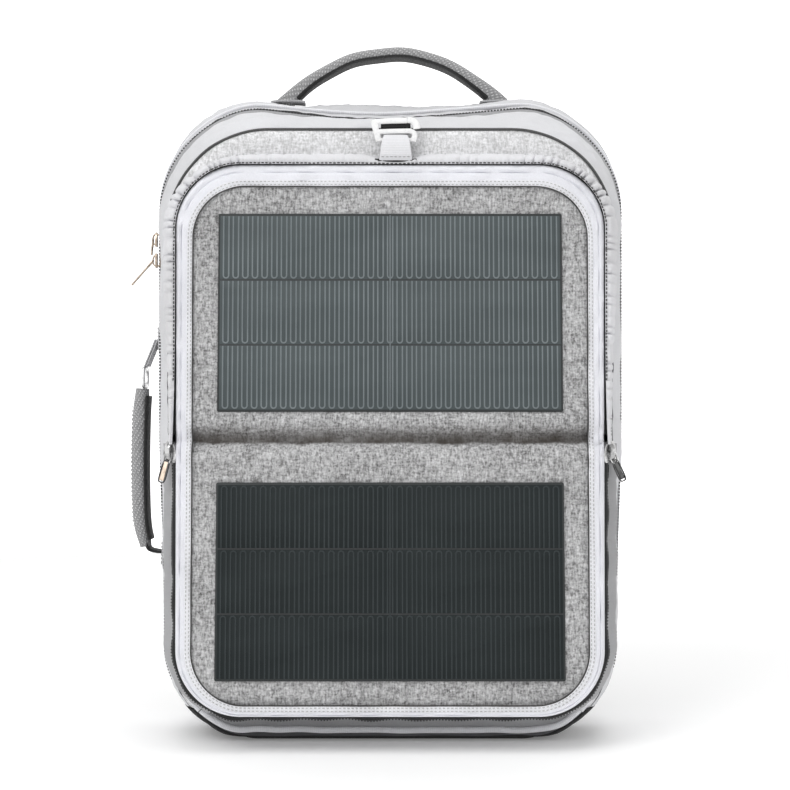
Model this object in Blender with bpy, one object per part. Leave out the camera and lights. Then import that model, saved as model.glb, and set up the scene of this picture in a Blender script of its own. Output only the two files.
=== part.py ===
"""A soft-sided solar backpack: a zipped clamshell bag whose front pocket carries two solar laminates.

Metres, +Z up, +X to the right of someone who faces the bag's front, and the front faces -Y.
The origin is on the flat underside of the base, below the middle of the bag.
"""

import math

import bmesh
import bpy
from mathutils import Vector

# Clearance between pieces that touch.
GAP = 0.0003
# Straight pieces in each rounded corner.
STEPS = 5

# The bag's own outline at several depths: y, half width, bottom z, top z, bottom and top corner radius.
STATIONS = (
    (-0.0380, 0.1600, 0.0045, 0.4400, 0.0550, 0.0740),
    (-0.0340, 0.1635, 0.0040, 0.4460, 0.0550, 0.0750),
    (-0.0200, 0.1685, 0.0040, 0.4550, 0.0560, 0.0760),
    (0.0150, 0.1735, 0.0040, 0.4650, 0.0580, 0.0780),
    (0.0340, 0.1745, 0.0040, 0.4755, 0.0580, 0.0780),
    (0.0560, 0.1745, 0.0040, 0.4755, 0.0580, 0.0780),
    (0.0660, 0.1690, 0.0080, 0.4700, 0.0540, 0.0740),
)
WALL = 0.003

# The main zip runs round the bag at SPLIT_Y and stops above the base tray.
SPLIT_Y = 0.015
ZIP_WIDTH = 0.004
ZIP_PROUD = 0.0006
ZIP_DEPTH = 0.0035
TRAY_TOP = 0.0245
SHELL_BOTTOM = 0.0262
TRAY_FRONT = -0.038
BACK_Y = 0.066

# The front of the zipped shell.
GUSSET_FRONT = -0.030
MID_FRONT = -0.034
PIPING = 0.0026

# The pocket's face leans back, a little more in its lower half, and folds along a crease.
FACE_LOW_Z = 0.0256
FACE_HIGH_Z = 0.417
CREASE_Z = 0.219
FACE_LOW_Y = -0.0840
CREASE_Y = -0.0642
FACE_HIGH_Y = -0.0480
CREASE_GAP = 0.0005
PANEL_THICK = 0.004
EDGING_PROUD = 0.0012
POCKET_ZIP_PROUD = 0.004
POCKET_ZIP_TOP = 0.216
RUFFLE_BACK = -0.0352

# The solar laminates, the same size.
SOLAR_HALF_WIDTH = 0.123
SOLAR_THICK = 0.0023
SOLAR_LOW = (0.0506, 0.1890)
SOLAR_HIGH = (0.2390, 0.3810)

# Joint places, as (x, y, z).
SHELL_HINGE = (0.0, -0.042, 0.026)
FLAP_HINGE = (0.0, CREASE_Y - 0.0016, CREASE_Z)
HOOK_HINGE = (0.004, -0.0440, 0.4355)
TOP_HANDLE_HINGE = (0.0, 0.045, 0.4845)
SIDE_HANDLE_HINGE = (-0.1790, 0.0362, 0.213)
STRAP_HINGE_Y = 0.0800
STRAP_HINGE_Z = 0.4340

# Zip sliders and their pulls.
SLIDER = (0.006, 0.012, 0.0095)
POCKET_SLIDER_Z = 0.2105
MAIN_SLIDER_Z = {"upper": 0.3685, "lower": 0.3525}
MAIN_SLIDER = (0.005, 0.011, 0.012)
PULL_THICK = 0.0016
PULL_WIDTH = 0.007

# Colours as linear RGB with roughness and metallic.
MELANGE = ((0.36, 0.36, 0.37), 0.92, 0.0)
PALE_CLOTH = ((0.70, 0.70, 0.72), 0.85, 0.0)
WHITE_TAPE = ((0.80, 0.80, 0.84), 0.80, 0.0)
GREY_CLOTH = ((0.42, 0.42, 0.43), 0.90, 0.0)
DARK_CLOTH = ((0.030, 0.030, 0.033), 0.85, 0.0)
LINING = ((0.10, 0.10, 0.11), 0.85, 0.0)
FOAM = ((0.16, 0.16, 0.17), 0.95, 0.0)
SOLAR = ((0.035, 0.045, 0.044), 0.35, 0.0)
BLACK_PLASTIC = ((0.015, 0.015, 0.016), 0.45, 0.0)
STEEL = ((0.75, 0.75, 0.76), 0.28, 1.0)
BRASS = ((0.45, 0.40, 0.26), 0.35, 1.0)
RUBBER = ((0.02, 0.02, 0.02), 0.70, 0.0)


class Outline:
    """A front outline in the XZ plane: a box with round corners, whose sides may lean a little."""

    def __init__(self, half_low, half_high, low, high, radius_low, radius_high):
        self.half = (half_low, half_high)
        self.ends = (low, high)
        self.radius = (radius_low, radius_high)

    def inset(self, depth):
        """The outline moved inwards by depth, or outwards where depth is negative."""
        return Outline(
            *(half - depth for half in self.half),
            self.ends[0] + depth,
            self.ends[1] - depth,
            *(radius - depth for radius in self.radius),
        )

    def centre(self, top):
        """The centre of the right corner at the top or the bottom."""
        z = self.ends[top] + (-self.radius[top] if top else self.radius[top])
        return self.half[top] - self.radius[top], z

    def half_at(self, z):
        """Half the width at a height between the corners."""
        low, high = self.centre(0)[1], self.centre(1)[1]
        return self.half[0] + (self.half[1] - self.half[0]) * (z - low) / (high - low)

    def corner(self, top, start, end):
        """Points on the right corner from one angle to another, in radians."""
        x, z = self.centre(top)
        radius = self.radius[top]
        angles = [start + (end - start) * i / STEPS for i in range(STEPS + 1)]
        return [(x + radius * math.cos(a), z + radius * math.sin(a)) for a in angles]

    def from_cut(self, cut, end):
        """The bottom corner from the height of the cut round to the end angle, or the cut's own point."""
        x, z = self.centre(0)
        if cut >= z:
            return [(self.half_at(cut), cut)]
        return self.corner(0, math.asin((cut - z) / self.radius[0]), end)

    def closed(self):
        """The whole outline, once round."""
        right = self.corner(0, -math.pi / 2, 0) + self.corner(1, 0, math.pi / 2)
        return right + mirrored(right)[::-1]

    def arch(self, cut):
        """The outline above the cut, from its left end over the top to its right end."""
        right = self.from_cut(cut, 0) + self.corner(1, 0, math.pi / 2)
        return mirrored(right) + right[::-1]

    def trough(self, cut):
        """The outline below the cut, from its left end under the bottom to its right end."""
        right = self.from_cut(cut, -math.pi / 2)
        if len(right) == 1:
            right += self.corner(0, 0, -math.pi / 2)
        return mirrored(right) + right[::-1]


def mirrored(points):
    return [(-x, z) for x, z in points]


def body_at(y):
    """The bag's outline at one depth."""
    for first, second in zip(STATIONS, STATIONS[1:]):
        if y <= second[0]:
            break
    share = (y - first[0]) / (second[0] - first[0])
    half, low, high, radius_low, radius_high = (
        a + share * (b - a) for a, b in zip(first[1:], second[1:])
    )
    return Outline(half, half, low, high, radius_low, radius_high)


def depth_through(low, high):
    """The depth y at a height z on the plane through two (z, y) points."""
    slope = (high[1] - low[1]) / (high[0] - low[0])
    return lambda z: low[1] + slope * (z - low[0])


FACE_LOWER = depth_through((FACE_LOW_Z, FACE_LOW_Y), (CREASE_Z, CREASE_Y))
FACE_UPPER = depth_through((CREASE_Z, CREASE_Y), (FACE_HIGH_Z, FACE_HIGH_Y))
FACE = Outline(0.151, 0.154, FACE_LOW_Z, FACE_HIGH_Z, 0.0465, 0.0465)
CLOTH = Outline(0.143, 0.143, 0.0315, 0.401, 0.038, 0.037)
RUFFLE = Outline(0.1595, 0.167, 0.205, 0.427, 0.010, 0.056)
RUFFLE_INNER = Outline(0.1555, 0.1553, 0.205, 0.4185, 0.010, 0.0478)
POCKET_FOOT = Outline(0.156, 0.158, 0.0264, 0.417, 0.049, 0.0465)


def behind(face, offset):
    """A depth that stays offset behind a face, or in front of it where offset is negative."""
    return lambda z: face(z) + offset


def level(y):
    """A depth that is the same at every height."""
    return lambda z: y


def material(name, finish):
    """A plain material from a colour, a roughness and a metallic value."""
    colour, roughness, metallic = finish
    made = bpy.data.materials.get(name)
    if made:
        return made
    made = bpy.data.materials.new(name)
    made.use_nodes = True
    shader = made.node_tree.nodes["Principled BSDF"]
    shader.inputs["Base Color"].default_value = (*colour, 1.0)
    shader.inputs["Roughness"].default_value = roughness
    shader.inputs["Metallic"].default_value = metallic
    made.diffuse_color = (*colour, 1.0)
    return made


def add_node(name, mesh, finish, joint=None):
    """Links a mesh, given in the bag's frame, as an object whose origin is on its joint's empty."""
    node = bpy.data.objects.new(name, mesh)
    bpy.context.scene.collection.objects.link(node)
    mesh.materials.append(material(name, finish))
    if joint:
        node.parent = joint
        shift = -world_place(joint)
        for vertex in mesh.vertices:
            vertex.co += shift
    return node


def world_place(empty):
    """The place of an unturned empty, through its parents."""
    place = empty.location.copy()
    while empty.parent:
        empty = empty.parent
        place += empty.location
    return place


def add_joint(name, place, parent=None):
    """An empty on a joint's axis, under the empty of the body that carries it."""
    empty = bpy.data.objects.new(name, None)
    empty.empty_display_size = 0.02
    bpy.context.scene.collection.objects.link(empty)
    empty.location = Vector(place)
    if parent:
        empty.parent = parent
        empty.location -= world_place(parent)
    return empty


def loft(name, rings, closed=False, smooth=False):
    """A mesh through rings of points: capped at both ends, or joined end to end when closed."""
    shape = bmesh.new()
    loops = [[shape.verts.new(point) for point in ring] for ring in rings]
    pairs = list(zip(loops, loops[1:]))
    if closed:
        pairs.append((loops[-1], loops[0]))
    else:
        shape.faces.new(loops[0])
        shape.faces.new(loops[-1])
    for first, second in pairs:
        for i in range(len(first)):
            j = (i + 1) % len(first)
            shape.faces.new((first[i], first[j], second[j], second[i]))
    bmesh.ops.recalc_face_normals(shape, faces=shape.faces)
    mesh = bpy.data.meshes.new(name)
    shape.to_mesh(mesh)
    shape.free()
    if smooth:
        mesh.shade_smooth()
        mesh.set_sharp_from_angle(angle=math.radians(40))
    return mesh


def plate(name, path, front, back, shift=0.0):
    """A flat piece: one outline in the XZ plane, given a front and a back depth."""
    rings = [[(x + shift, depth(z), z) for x, z in path] for depth in (front, back)]
    return loft(name, rings)


def sweep(name, edges):
    """A band along an open path: each edge is a path and its depth, in order round the band's section."""
    rings = [
        [(path[i][0], depth(path[i][1]), path[i][1]) for path, depth in edges]
        for i in range(len(edges[0][0]))
    ]
    return loft(name, rings, smooth=True)


def box(name, centre, size):
    """A plain block."""
    x, y, z = (side / 2 for side in size)
    rings = [
        [Vector(centre) + Vector((sx * x, sy * y, sz * z)) for sx, sy in ((-1, -1), (1, -1), (1, 1), (-1, 1))]
        for sz in (-1, 1)
    ]
    return loft(name, rings)


def floor_plate(name, half_width, front, back, radius, low, high):
    """A level plate with round corners."""
    path = Outline(half_width, half_width, front, back, radius, radius).closed()
    return loft(name, [[(x, y, z) for x, y in path] for z in (low, high)])


def section(half_width, half_thick, soft):
    """Half sizes to the points of a strap's section, with its corners cut off when it is soft."""
    if not soft:
        return [(-1, -1), (1, -1), (1, 1), (-1, 1)], half_width, half_thick
    cut = 1 - half_thick * 0.7 / half_width
    return [
        (-cut, -1), (cut, -1), (1, -0.45), (1, 0.45), (cut, 1), (-cut, 1), (-1, 0.45), (-1, -0.45),
    ], half_width, half_thick


def ribbon(name, points, across, widths, thick, soft=False):
    """A strap along points, with a width across and a thickness at right angles to it at each point."""
    points = [Vector(point) for point in points]
    thicks = thick if isinstance(thick, list) else [thick] * len(points)
    rings = []
    for i, point in enumerate(points):
        along = (points[min(i + 1, len(points) - 1)] - points[max(i - 1, 0)]).normalized()
        side = Vector(across)
        side = (side - along * side.dot(along)).normalized()
        normal = along.cross(side)
        corners, half_width, half_thick = section(widths[i] / 2, thicks[i] / 2, soft)
        rings.append([point + side * (u * half_width) + normal * (v * half_thick) for u, v in corners])
    return loft(name, rings, smooth=True)


def tube(name, points, radius, sides=6):
    """A round cord along points, its section carried along without twisting."""
    points = [Vector(point) for point in points]
    along = (points[1] - points[0]).normalized()
    side = along.orthogonal().normalized()
    rings = []
    for i, point in enumerate(points):
        along = (points[min(i + 1, len(points) - 1)] - points[max(i - 1, 0)]).normalized()
        side = (side - along * side.dot(along)).normalized()
        other = along.cross(side)
        turns = [2 * math.pi * k / sides for k in range(sides)]
        rings.append([point + radius * (side * math.cos(a) + other * math.sin(a)) for a in turns])
    return loft(name, rings, smooth=True)


def smooth_curve(points, pieces):
    """Points along the smooth curve through a few hand-placed points."""
    points = [Vector(point) for point in points]
    held = [2 * points[0] - points[1]] + points + [2 * points[-1] - points[-2]]
    made = []
    for a, b, c, d in zip(held, held[1:], held[2:], held[3:]):
        for i in range(pieces):
            t = i / pieces
            made.append(
                0.5 * (2 * b + (c - a) * t + (2 * a - 5 * b + 4 * c - d) * t**2 + (3 * b - a - 3 * c + d) * t**3)
            )
    return made + [points[-1]]


def cut(node, cutter_mesh):
    """Takes a hidden cutter's shape out of a node."""
    cutter = bpy.data.objects.new(node.name + "_cutter", cutter_mesh)
    bpy.context.scene.collection.objects.link(cutter)
    cutter.hide_render = True
    cutter.display_type = "WIRE"
    if node.parent:
        cutter.parent = node.parent
        shift = -world_place(node.parent)
        for vertex in cutter_mesh.vertices:
            vertex.co += shift
    boolean = node.modifiers.new("cut", "BOOLEAN")
    boolean.operation = "DIFFERENCE"
    boolean.object = cutter


def frame_ring(name, centre, size, hole, thin_axis):
    """A rectangular ring buckle: its size and hole across it, thin along one axis."""
    thick = size[thin_axis] / 2
    wide, tall = (axis for axis in range(3) if axis != thin_axis)
    rings = []
    for (half_wide, half_tall), depth in (
        ((size[wide] / 2, size[tall] / 2), -thick),
        ((size[wide] / 2, size[tall] / 2), thick),
        ((hole[0] / 2, hole[1] / 2), thick),
        ((hole[0] / 2, hole[1] / 2), -thick),
    ):
        ring = []
        for u, v in ((-1, -1), (1, -1), (1, 1), (-1, 1)):
            point = Vector(centre)
            point[wide] += u * half_wide
            point[tall] += v * half_tall
            point[thin_axis] += depth
            ring.append(point)
        rings.append(ring)
    return loft(name, rings, closed=True)


# The bag's rear half and base.


def make_rear_shell():
    """The tub that holds the back, the sides and the bottom behind the main zip."""
    front = SPLIT_Y + GAP + ZIP_WIDTH + GAP
    outer = [BACK_Y, 0.056, 0.034, front]
    inner = [front, 0.034, 0.056, BACK_Y - WALL]
    rings = [[(x, y, z) for x, z in body_at(y).closed()] for y in outer]
    rings += [[(x, y, z) for x, z in body_at(y).inset(WALL).closed()] for y in inner]
    return add_node("rear_shell", loft("rear_shell", rings, smooth=True), GREY_CLOTH)


def make_base():
    """The coated tray under the zip, its flat sole, the light piping round its front and the stiff board inside."""
    back = SPLIT_Y + GAP + ZIP_WIDTH
    stations = [TRAY_FRONT, MID_FRONT, back]
    rings = [[(x, y, z) for x, z in body_at(y).trough(TRAY_TOP)] for y in stations]
    tray = add_node("base_tray", loft("base_tray", rings), DARK_CLOTH)
    stations = [TRAY_FRONT + WALL, MID_FRONT + WALL, back + 0.01]
    rings = [[(x, y, z) for x, z in body_at(y).inset(WALL).trough(TRAY_TOP + 0.01)] for y in stations]
    cut(tray, loft("base_tray_cutter", rings))
    add_node("base_panel", floor_plate("base_panel", 0.108, -0.031, 0.058, 0.012, 0.0, 0.0037), BLACK_PLASTIC)
    add_node("base_board", floor_plate("base_board", 0.104, -0.032, 0.056, 0.010, 0.0078, 0.0098), BLACK_PLASTIC)
    lip = body_at(TRAY_FRONT)
    front, rear = level(TRAY_FRONT - 0.0031), level(TRAY_FRONT - GAP)
    edges = [
        (lip.inset(-0.0004).trough(TRAY_TOP - 0.003), rear),
        (lip.inset(-0.0008).trough(TRAY_TOP - 0.003), level(TRAY_FRONT - 0.0016)),
        (lip.inset(0.0008).trough(TRAY_TOP - 0.003), front),
        (lip.inset(0.0028).trough(TRAY_TOP - 0.003), front),
        (lip.inset(0.0037).trough(TRAY_TOP - 0.003), rear),
    ]
    add_node("base_piping", sweep("base_piping", edges), PALE_CLOTH)


def make_back():
    """The mesh-covered back: its panel, two foam pads, the strap yoke and the trolley band."""
    outline = Outline(0.150, 0.150, 0.020, 0.455, 0.050, 0.070)
    panel = plate("back_panel", outline.closed(), level(BACK_Y + GAP), level(BACK_Y + 0.0033))
    add_node("back_panel", panel, DARK_CLOTH)
    pad_front = BACK_Y + 0.0036
    pad = Outline(0.055, 0.055, 0.060, 0.400, 0.020, 0.020)
    for word, sign in (("left", -1), ("right", 1)):
        name = f"back_pad_{word}"
        rings = [
            [(x + sign * 0.071, y, z) for x, z in pad.inset(inset).closed()]
            for y, inset in ((pad_front, 0.0), (pad_front + 0.005, 0.0), (pad_front + 0.008, 0.004))
        ]
        add_node(name, loft(name, rings, smooth=True), FOAM)
    yoke = Outline(0.088, 0.088, 0.408, 0.452, 0.010, 0.010)
    add_node("strap_yoke", plate("strap_yoke", yoke.closed(), level(pad_front), level(pad_front + 0.005)), GREY_CLOTH)
    band = [(-0.149, 0.0707), (-0.139, 0.0707), (-0.131, 0.0835), (-0.120, 0.0846)]
    band += [(-x, y) for x, y in band[::-1]]
    points = [(x, y, 0.210) for x, y in band]
    widths = [0.070] * len(points)
    add_node("trolley_band", ribbon("trolley_band", points, (0, 0, 1), widths, 0.0016), DARK_CLOTH)


def make_interior():
    """The stiff back sheet and the laptop divider."""
    sheet = Outline(0.150, 0.150, 0.020, 0.455, 0.050, 0.070)
    add_node("frame_sheet", plate("frame_sheet", sheet.closed(), level(0.0600), level(0.0620)), BLACK_PLASTIC)
    divider = Outline(0.140, 0.140, 0.0125, 0.330, 0.030, 0.015)
    add_node("laptop_divider", plate("laptop_divider", divider.closed(), level(0.0380), level(0.0410)), LINING)


def make_main_zip(shell_joint):
    """The two toothed tapes that meet at SPLIT_Y, one on each half of the bag."""
    for name, joint, front in (
        ("rear_zip_tape", None, SPLIT_Y + GAP),
        ("front_zip_tape", shell_joint, SPLIT_Y - GAP - ZIP_WIDTH),
    ):
        line = body_at(front + ZIP_WIDTH / 2)
        outer = line.inset(-ZIP_PROUD).arch(SHELL_BOTTOM)
        inner = line.inset(ZIP_DEPTH).arch(SHELL_BOTTOM)
        near, far = level(front), level(front + ZIP_WIDTH)
        add_node(name, sweep(name, [(outer, near), (outer, far), (inner, far), (inner, near)]), DARK_CLOTH, joint)


# The bag's front half, which the main zip frees.


def make_front_shell(joint):
    """The side and top band of the front half, its front panel and the black piping between them."""
    depths = [GUSSET_FRONT, -0.020, SPLIT_Y - GAP - ZIP_WIDTH - GAP]
    edges = [(body_at(y).arch(SHELL_BOTTOM), level(y)) for y in depths]
    edges += [(body_at(y).inset(WALL).arch(SHELL_BOTTOM), level(y)) for y in depths[::-1]]
    add_node("front_gusset", sweep("front_gusset", edges), PALE_CLOTH, joint)
    line = body_at(MID_FRONT)
    back = level(GUSSET_FRONT - GAP)
    panel = plate("mid_panel", line.inset(PIPING).arch(SHELL_BOTTOM), level(MID_FRONT), back)
    add_node("mid_panel", panel, MELANGE, joint)
    outer, inner = line.inset(-0.0004), line.inset(PIPING - GAP)
    edges = [
        (outer.arch(SHELL_BOTTOM), back),
        (outer.arch(SHELL_BOTTOM), level(MID_FRONT)),
        (outer.inset(0.0008).arch(SHELL_BOTTOM), level(MID_FRONT - 0.0008)),
        (inner.inset(-0.0008).arch(SHELL_BOTTOM), level(MID_FRONT - 0.0008)),
        (inner.arch(SHELL_BOTTOM), level(MID_FRONT)),
        (inner.arch(SHELL_BOTTOM), back),
    ]
    add_node("mid_piping", sweep("mid_piping", edges), DARK_CLOTH, joint)


def make_face_half(half, joint):
    """One half of the pocket's face: its cloth panel, its white edging and its solar laminate."""
    if half == "lower":
        face, path_of, cut_z = FACE_LOWER, Outline.trough, CREASE_Z - CREASE_GAP
        low, high = SOLAR_LOW
    else:
        face, path_of, cut_z = FACE_UPPER, Outline.arch, CREASE_Z + CREASE_GAP
        low, high = SOLAR_HIGH
    back = behind(face, PANEL_THICK)
    cloth = plate(f"{half}_face_panel", path_of(CLOTH.inset(GAP), cut_z), face, back)
    add_node(f"{half}_face_panel", cloth, MELANGE, joint)
    outer, inner = path_of(FACE, cut_z), path_of(CLOTH, cut_z)
    front = behind(face, -EDGING_PROUD)
    edging = sweep(f"{half}_edging", [(outer, back), (outer, front), (inner, front), (inner, back)])
    add_node(f"{half}_edging", edging, WHITE_TAPE, joint)
    laminate = Outline(SOLAR_HALF_WIDTH, SOLAR_HALF_WIDTH, low, high, 0.001, 0.001)
    near, far = behind(face, -GAP - SOLAR_THICK), behind(face, -GAP)
    add_node(f"{half}_solar_panel", plate(f"{half}_solar_panel", laminate.closed(), near, far), SOLAR, joint)


def make_pocket_lower(joint):
    """The closed lower half of the pocket's side: its band and the dark zip under the edging."""
    front = behind(FACE_LOWER, PANEL_THICK + 0.0066)
    back = level(MID_FRONT - 0.0004)
    outlines = (FACE.inset(-0.0015), POCKET_FOOT, POCKET_FOOT.inset(0.0025), FACE.inset(0.0010))
    paths = [outline.trough(POCKET_ZIP_TOP) for outline in outlines]
    edges = [(paths[0], front), (paths[1], back), (paths[2], back), (paths[3], front)]
    add_node("pocket_gusset", sweep("pocket_gusset", edges), PALE_CLOTH, joint)
    near = behind(FACE_LOWER, PANEL_THICK + GAP)
    far = behind(FACE_LOWER, PANEL_THICK + 0.0063)
    outer = FACE.inset(-POCKET_ZIP_PROUD).trough(POCKET_ZIP_TOP)
    inner = FACE.inset(0.002).trough(POCKET_ZIP_TOP)
    zip_band = sweep("pocket_zip", [(outer, near), (outer, far), (inner, far), (inner, near)])
    add_node("pocket_zip", zip_band, DARK_CLOTH, joint)


def make_pocket_contents(joint):
    """The organiser, the charge controller with its socket, the junction box and the held leads."""
    organiser = Outline(0.120, 0.120, 0.045, 0.190, 0.010, 0.010)
    mesh = plate("organiser_panel", organiser.closed(), level(-0.0410), level(-0.0390))
    add_node("organiser_panel", mesh, LINING, joint)
    add_node("charge_controller", box("charge_controller", (0.035, -0.0493, 0.1055), (0.070, 0.016, 0.041)),
             BLACK_PLASTIC, joint)
    add_node("usb_socket", box("usb_socket", (0.017, -0.0493, 0.1303), (0.014, 0.007, 0.008)), STEEL, joint)
    low, high = 0.186, CREASE_Z - 0.0025
    junction = Outline(0.030, 0.030, low, high, 0.003, 0.003)
    near, far = behind(FACE_LOWER, PANEL_THICK + GAP), behind(FACE_LOWER, PANEL_THICK + 0.0083)
    mesh = plate("lower_junction_box", junction.closed(), near, far)
    add_node("lower_junction_box", mesh, BLACK_PLASTIC, joint)
    centre = behind(FACE_LOWER, PANEL_THICK + 0.0042)
    route = [
        (0.0, centre(low), low - GAP), (0.002, centre(0.175) + 0.002, 0.175), (0.016, -0.0545, 0.152),
        (0.040, -0.0500, 0.143), (0.050, -0.0493, 0.136), (0.052, -0.0493, 0.1263),
    ]
    add_node("controller_lead", tube("controller_lead", smooth_curve(route, 3), 0.0015), RUBBER, joint)


# The pocket's flap and what it carries, and the rim and hook that it closes against.


def make_flap_contents(joint):
    """The junction box behind the flap and the lead that runs down from it to the crease."""
    low, high = 0.250, 0.280
    junction = Outline(0.030, 0.030, low, high, 0.003, 0.003)
    near, far = behind(FACE_UPPER, PANEL_THICK + GAP), behind(FACE_UPPER, PANEL_THICK + 0.0083)
    mesh = plate("upper_junction_box", junction.closed(), near, far)
    add_node("upper_junction_box", mesh, BLACK_PLASTIC, joint)
    centre = behind(FACE_UPPER, PANEL_THICK + 0.0042)
    route = [(0, centre(z), z) for z in (low - GAP, 0.236, CREASE_Z + 0.0025)]
    add_node("upper_lead", tube("upper_lead", smooth_curve(route, 2), 0.0015), RUBBER, joint)


def make_pocket_ruffle(joint):
    """The gathered band that stands round the flap, and the webbing tab sewn over its top for the hook."""
    front = behind(FACE_UPPER, 0.0008)
    middle = behind(FACE_UPPER, 0.0060)
    cut_z = CREASE_Z + 0.001
    edges = [
        (RUFFLE_INNER.arch(cut_z), front),
        (RUFFLE.inset(0.0030).arch(cut_z), front),
        (RUFFLE.arch(cut_z), middle),
        (RUFFLE.inset(0.0030).arch(cut_z), level(RUFFLE_BACK)),
        (RUFFLE_INNER.arch(cut_z), level(RUFFLE_BACK)),
    ]
    add_node("pocket_ruffle", sweep("pocket_ruffle", edges), PALE_CLOTH, joint)
    x = HOOK_HINGE[0]
    route = [(x, -0.0492, 0.4195), (x, -0.0486, 0.4265), (x, -0.0464, 0.4312)]
    points = smooth_curve(route, 2)
    add_node("hook_tab", ribbon("hook_tab", points, (1, 0, 0), [0.022] * len(points), 0.0014), PALE_CLOTH, joint)


def make_hook(joint, shell_joint):
    """The flat metal G-hook on its tab, and the webbing keeper behind it."""
    outline = (
        (-0.0165, -0.0105), (0.0165, -0.0105), (0.0165, 0.0005), (0.0125, 0.0005), (0.0125, -0.0015),
        (-0.0120, -0.0015), (-0.0120, 0.0042), (0.0165, 0.0042), (0.0165, 0.0100), (-0.0165, 0.0100),
    )
    x, y, z = HOOK_HINGE
    base = z + 0.0080
    points = [(x + u, base + v) for u, v in outline]
    hook = add_node("g_hook", plate("g_hook", points, level(y - 0.0015), level(y + 0.0015)), STEEL, joint)
    cut(hook, box("g_hook_cutter", (x, y, z), (0.0240, 0.010, 0.0020)))
    route = [(x, -0.0260, 0.4534), (x, -0.0335, 0.4497), (x, -0.0363, 0.4462), (x, -0.0367, 0.4300)]
    keeper = ribbon("hook_keeper", route, (1, 0, 0), [0.024] * len(route), 0.0014)
    add_node("hook_keeper", keeper, DARK_CLOTH, shell_joint)


# Handles.


def make_top_handle(joint):
    """The padded grab handle, an arch that narrows to its two sewn ends."""
    half, rise, power = 0.0765, 0.0300, 2.45
    _, y, foot = TOP_HANDLE_HINGE
    shift = 0.0015
    points, widths = [], []
    count = 16
    for i in range(count + 1):
        u = -math.cos(math.pi * i / count)
        height = rise * (1 - abs(u) ** power)
        points.append((shift + half * u, y, foot + height))
        widths.append(2 * min(0.0125, 0.0045 + 0.35 * height))
    add_node("top_handle", ribbon("top_handle", points, (0, 1, 0), widths, 0.0105, soft=True), GREY_CLOTH, joint)
    for word, sign in (("left", -1), ("right", 1)):
        name = f"handle_anchor_{word}"
        centre = (shift + sign * half, y, 0.4755 + GAP + 0.0013)
        add_node(name, box(name, centre, (0.026, 0.019, 0.0026)), DARK_CLOTH)


def make_side_handle(joint):
    """The padded carry handle on the bag's left side, its webbing, ring and two sewn tabs."""
    x, y, _ = SIDE_HANDLE_HINGE
    points = [(x, y, 0.2905), (-0.1815, y, 0.2850), (-0.1840, y, 0.2790), (-0.1865, y, 0.2735)]
    mesh = ribbon("side_handle_webbing", points, (0, 1, 0), [0.007, 0.012, 0.018, 0.020], 0.0016)
    add_node("side_handle_webbing", mesh, DARK_CLOTH, joint)
    ring = frame_ring("side_handle_ring", (-0.1885, y, 0.2645), (0.003, 0.026, 0.0170), (0.020, 0.009), 0)
    add_node("side_handle_ring", ring, STEEL, joint)
    route = [(-0.1905, y, 0.2555), (-0.1912, y, 0.240), (-0.1913, y, 0.200), (-0.1908, y, 0.158)]
    points = smooth_curve(route, 3) + [Vector((-0.1890, y, 0.146)), Vector((-0.1840, y, 0.138)), Vector((x, y, 0.1345))]
    widths = [0.020] + [0.023] * 9 + [0.022, 0.013, 0.006]
    thicks = [0.009] + [0.0125] * 9 + [0.009, 0.004, 0.0016]
    grip = ribbon("side_handle_grip", points, (0, 1, 0), widths, thicks, soft=True)
    add_node("side_handle_grip", grip, GREY_CLOTH, joint)
    surface = -body_at(y).half_at(0.2) - GAP
    for word, z in (("upper", 0.294), ("lower", 0.130)):
        name = f"side_handle_tab_{word}"
        add_node(name, box(name, (surface - 0.0006, y, z), (0.0012, 0.020, 0.022)), DARK_CLOTH)


# Zip sliders.


def make_slider(name, centre, size, joint, outward):
    """A slider body with a thinner bridge on its outer side."""
    body = Vector(centre)
    x, y, z = (side / 2 for side in size)
    profile = ((-x, 1.0), (0.0, 1.0), (x, 0.55))
    rings = [
        [body + Vector((outward * u, sy * y * k, sz * z * k)) for sy, sz in ((-1, -1), (1, -1), (1, 1), (-1, 1))]
        for u, k in profile
    ]
    add_node(name, loft(name, rings), STEEL if "pocket" in name else BRASS, joint)


def make_pull(name, pivot, length, joint, lean, finish):
    """A flat pull tab that hangs from its pivot, leaning outwards by an angle."""
    outline = Outline(PULL_WIDTH / 2, PULL_WIDTH / 2, -length, 0.0012, 0.002, 0.0010)
    mesh = bpy.data.meshes.new(name)
    rings = [[Vector((t, u, v)) for u, v in outline.closed()] for t in (-PULL_THICK / 2, PULL_THICK / 2)]
    turn = math.radians(lean)
    mesh = loft(name, [[
        Vector(pivot) + Vector((p.x * math.cos(turn) + p.z * math.sin(turn), p.y,
                                p.z * math.cos(turn) - p.x * math.sin(turn)))
        for p in ring
    ] for ring in rings])
    add_node(name, mesh, finish, joint)


def make_pocket_sliders(shell_joint):
    """The two sliders where the pocket's zip stops being closed, one each side, with their pulls."""
    face = behind(FACE_LOWER, PANEL_THICK + 0.0033)
    for word, sign in (("left", -1), ("right", 1)):
        z = POCKET_SLIDER_Z
        inner = FACE.inset(-POCKET_ZIP_PROUD).half_at(z) + GAP
        centre = (sign * (inner + SLIDER[0] / 2), face(z), z)
        slide = add_joint(f"pocket_slider_{word}_slide", centre, shell_joint)
        make_slider(f"pocket_slider_{word}", centre, SLIDER, slide, sign)
        pivot = (sign * (inner + SLIDER[0] + 0.0019), face(z), z + 0.001)
        swing = add_joint(f"pocket_pull_{word}_swing", pivot, slide)
        make_pull(f"pocket_pull_{word}", pivot, 0.0215, swing, 0, STEEL)


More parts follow.
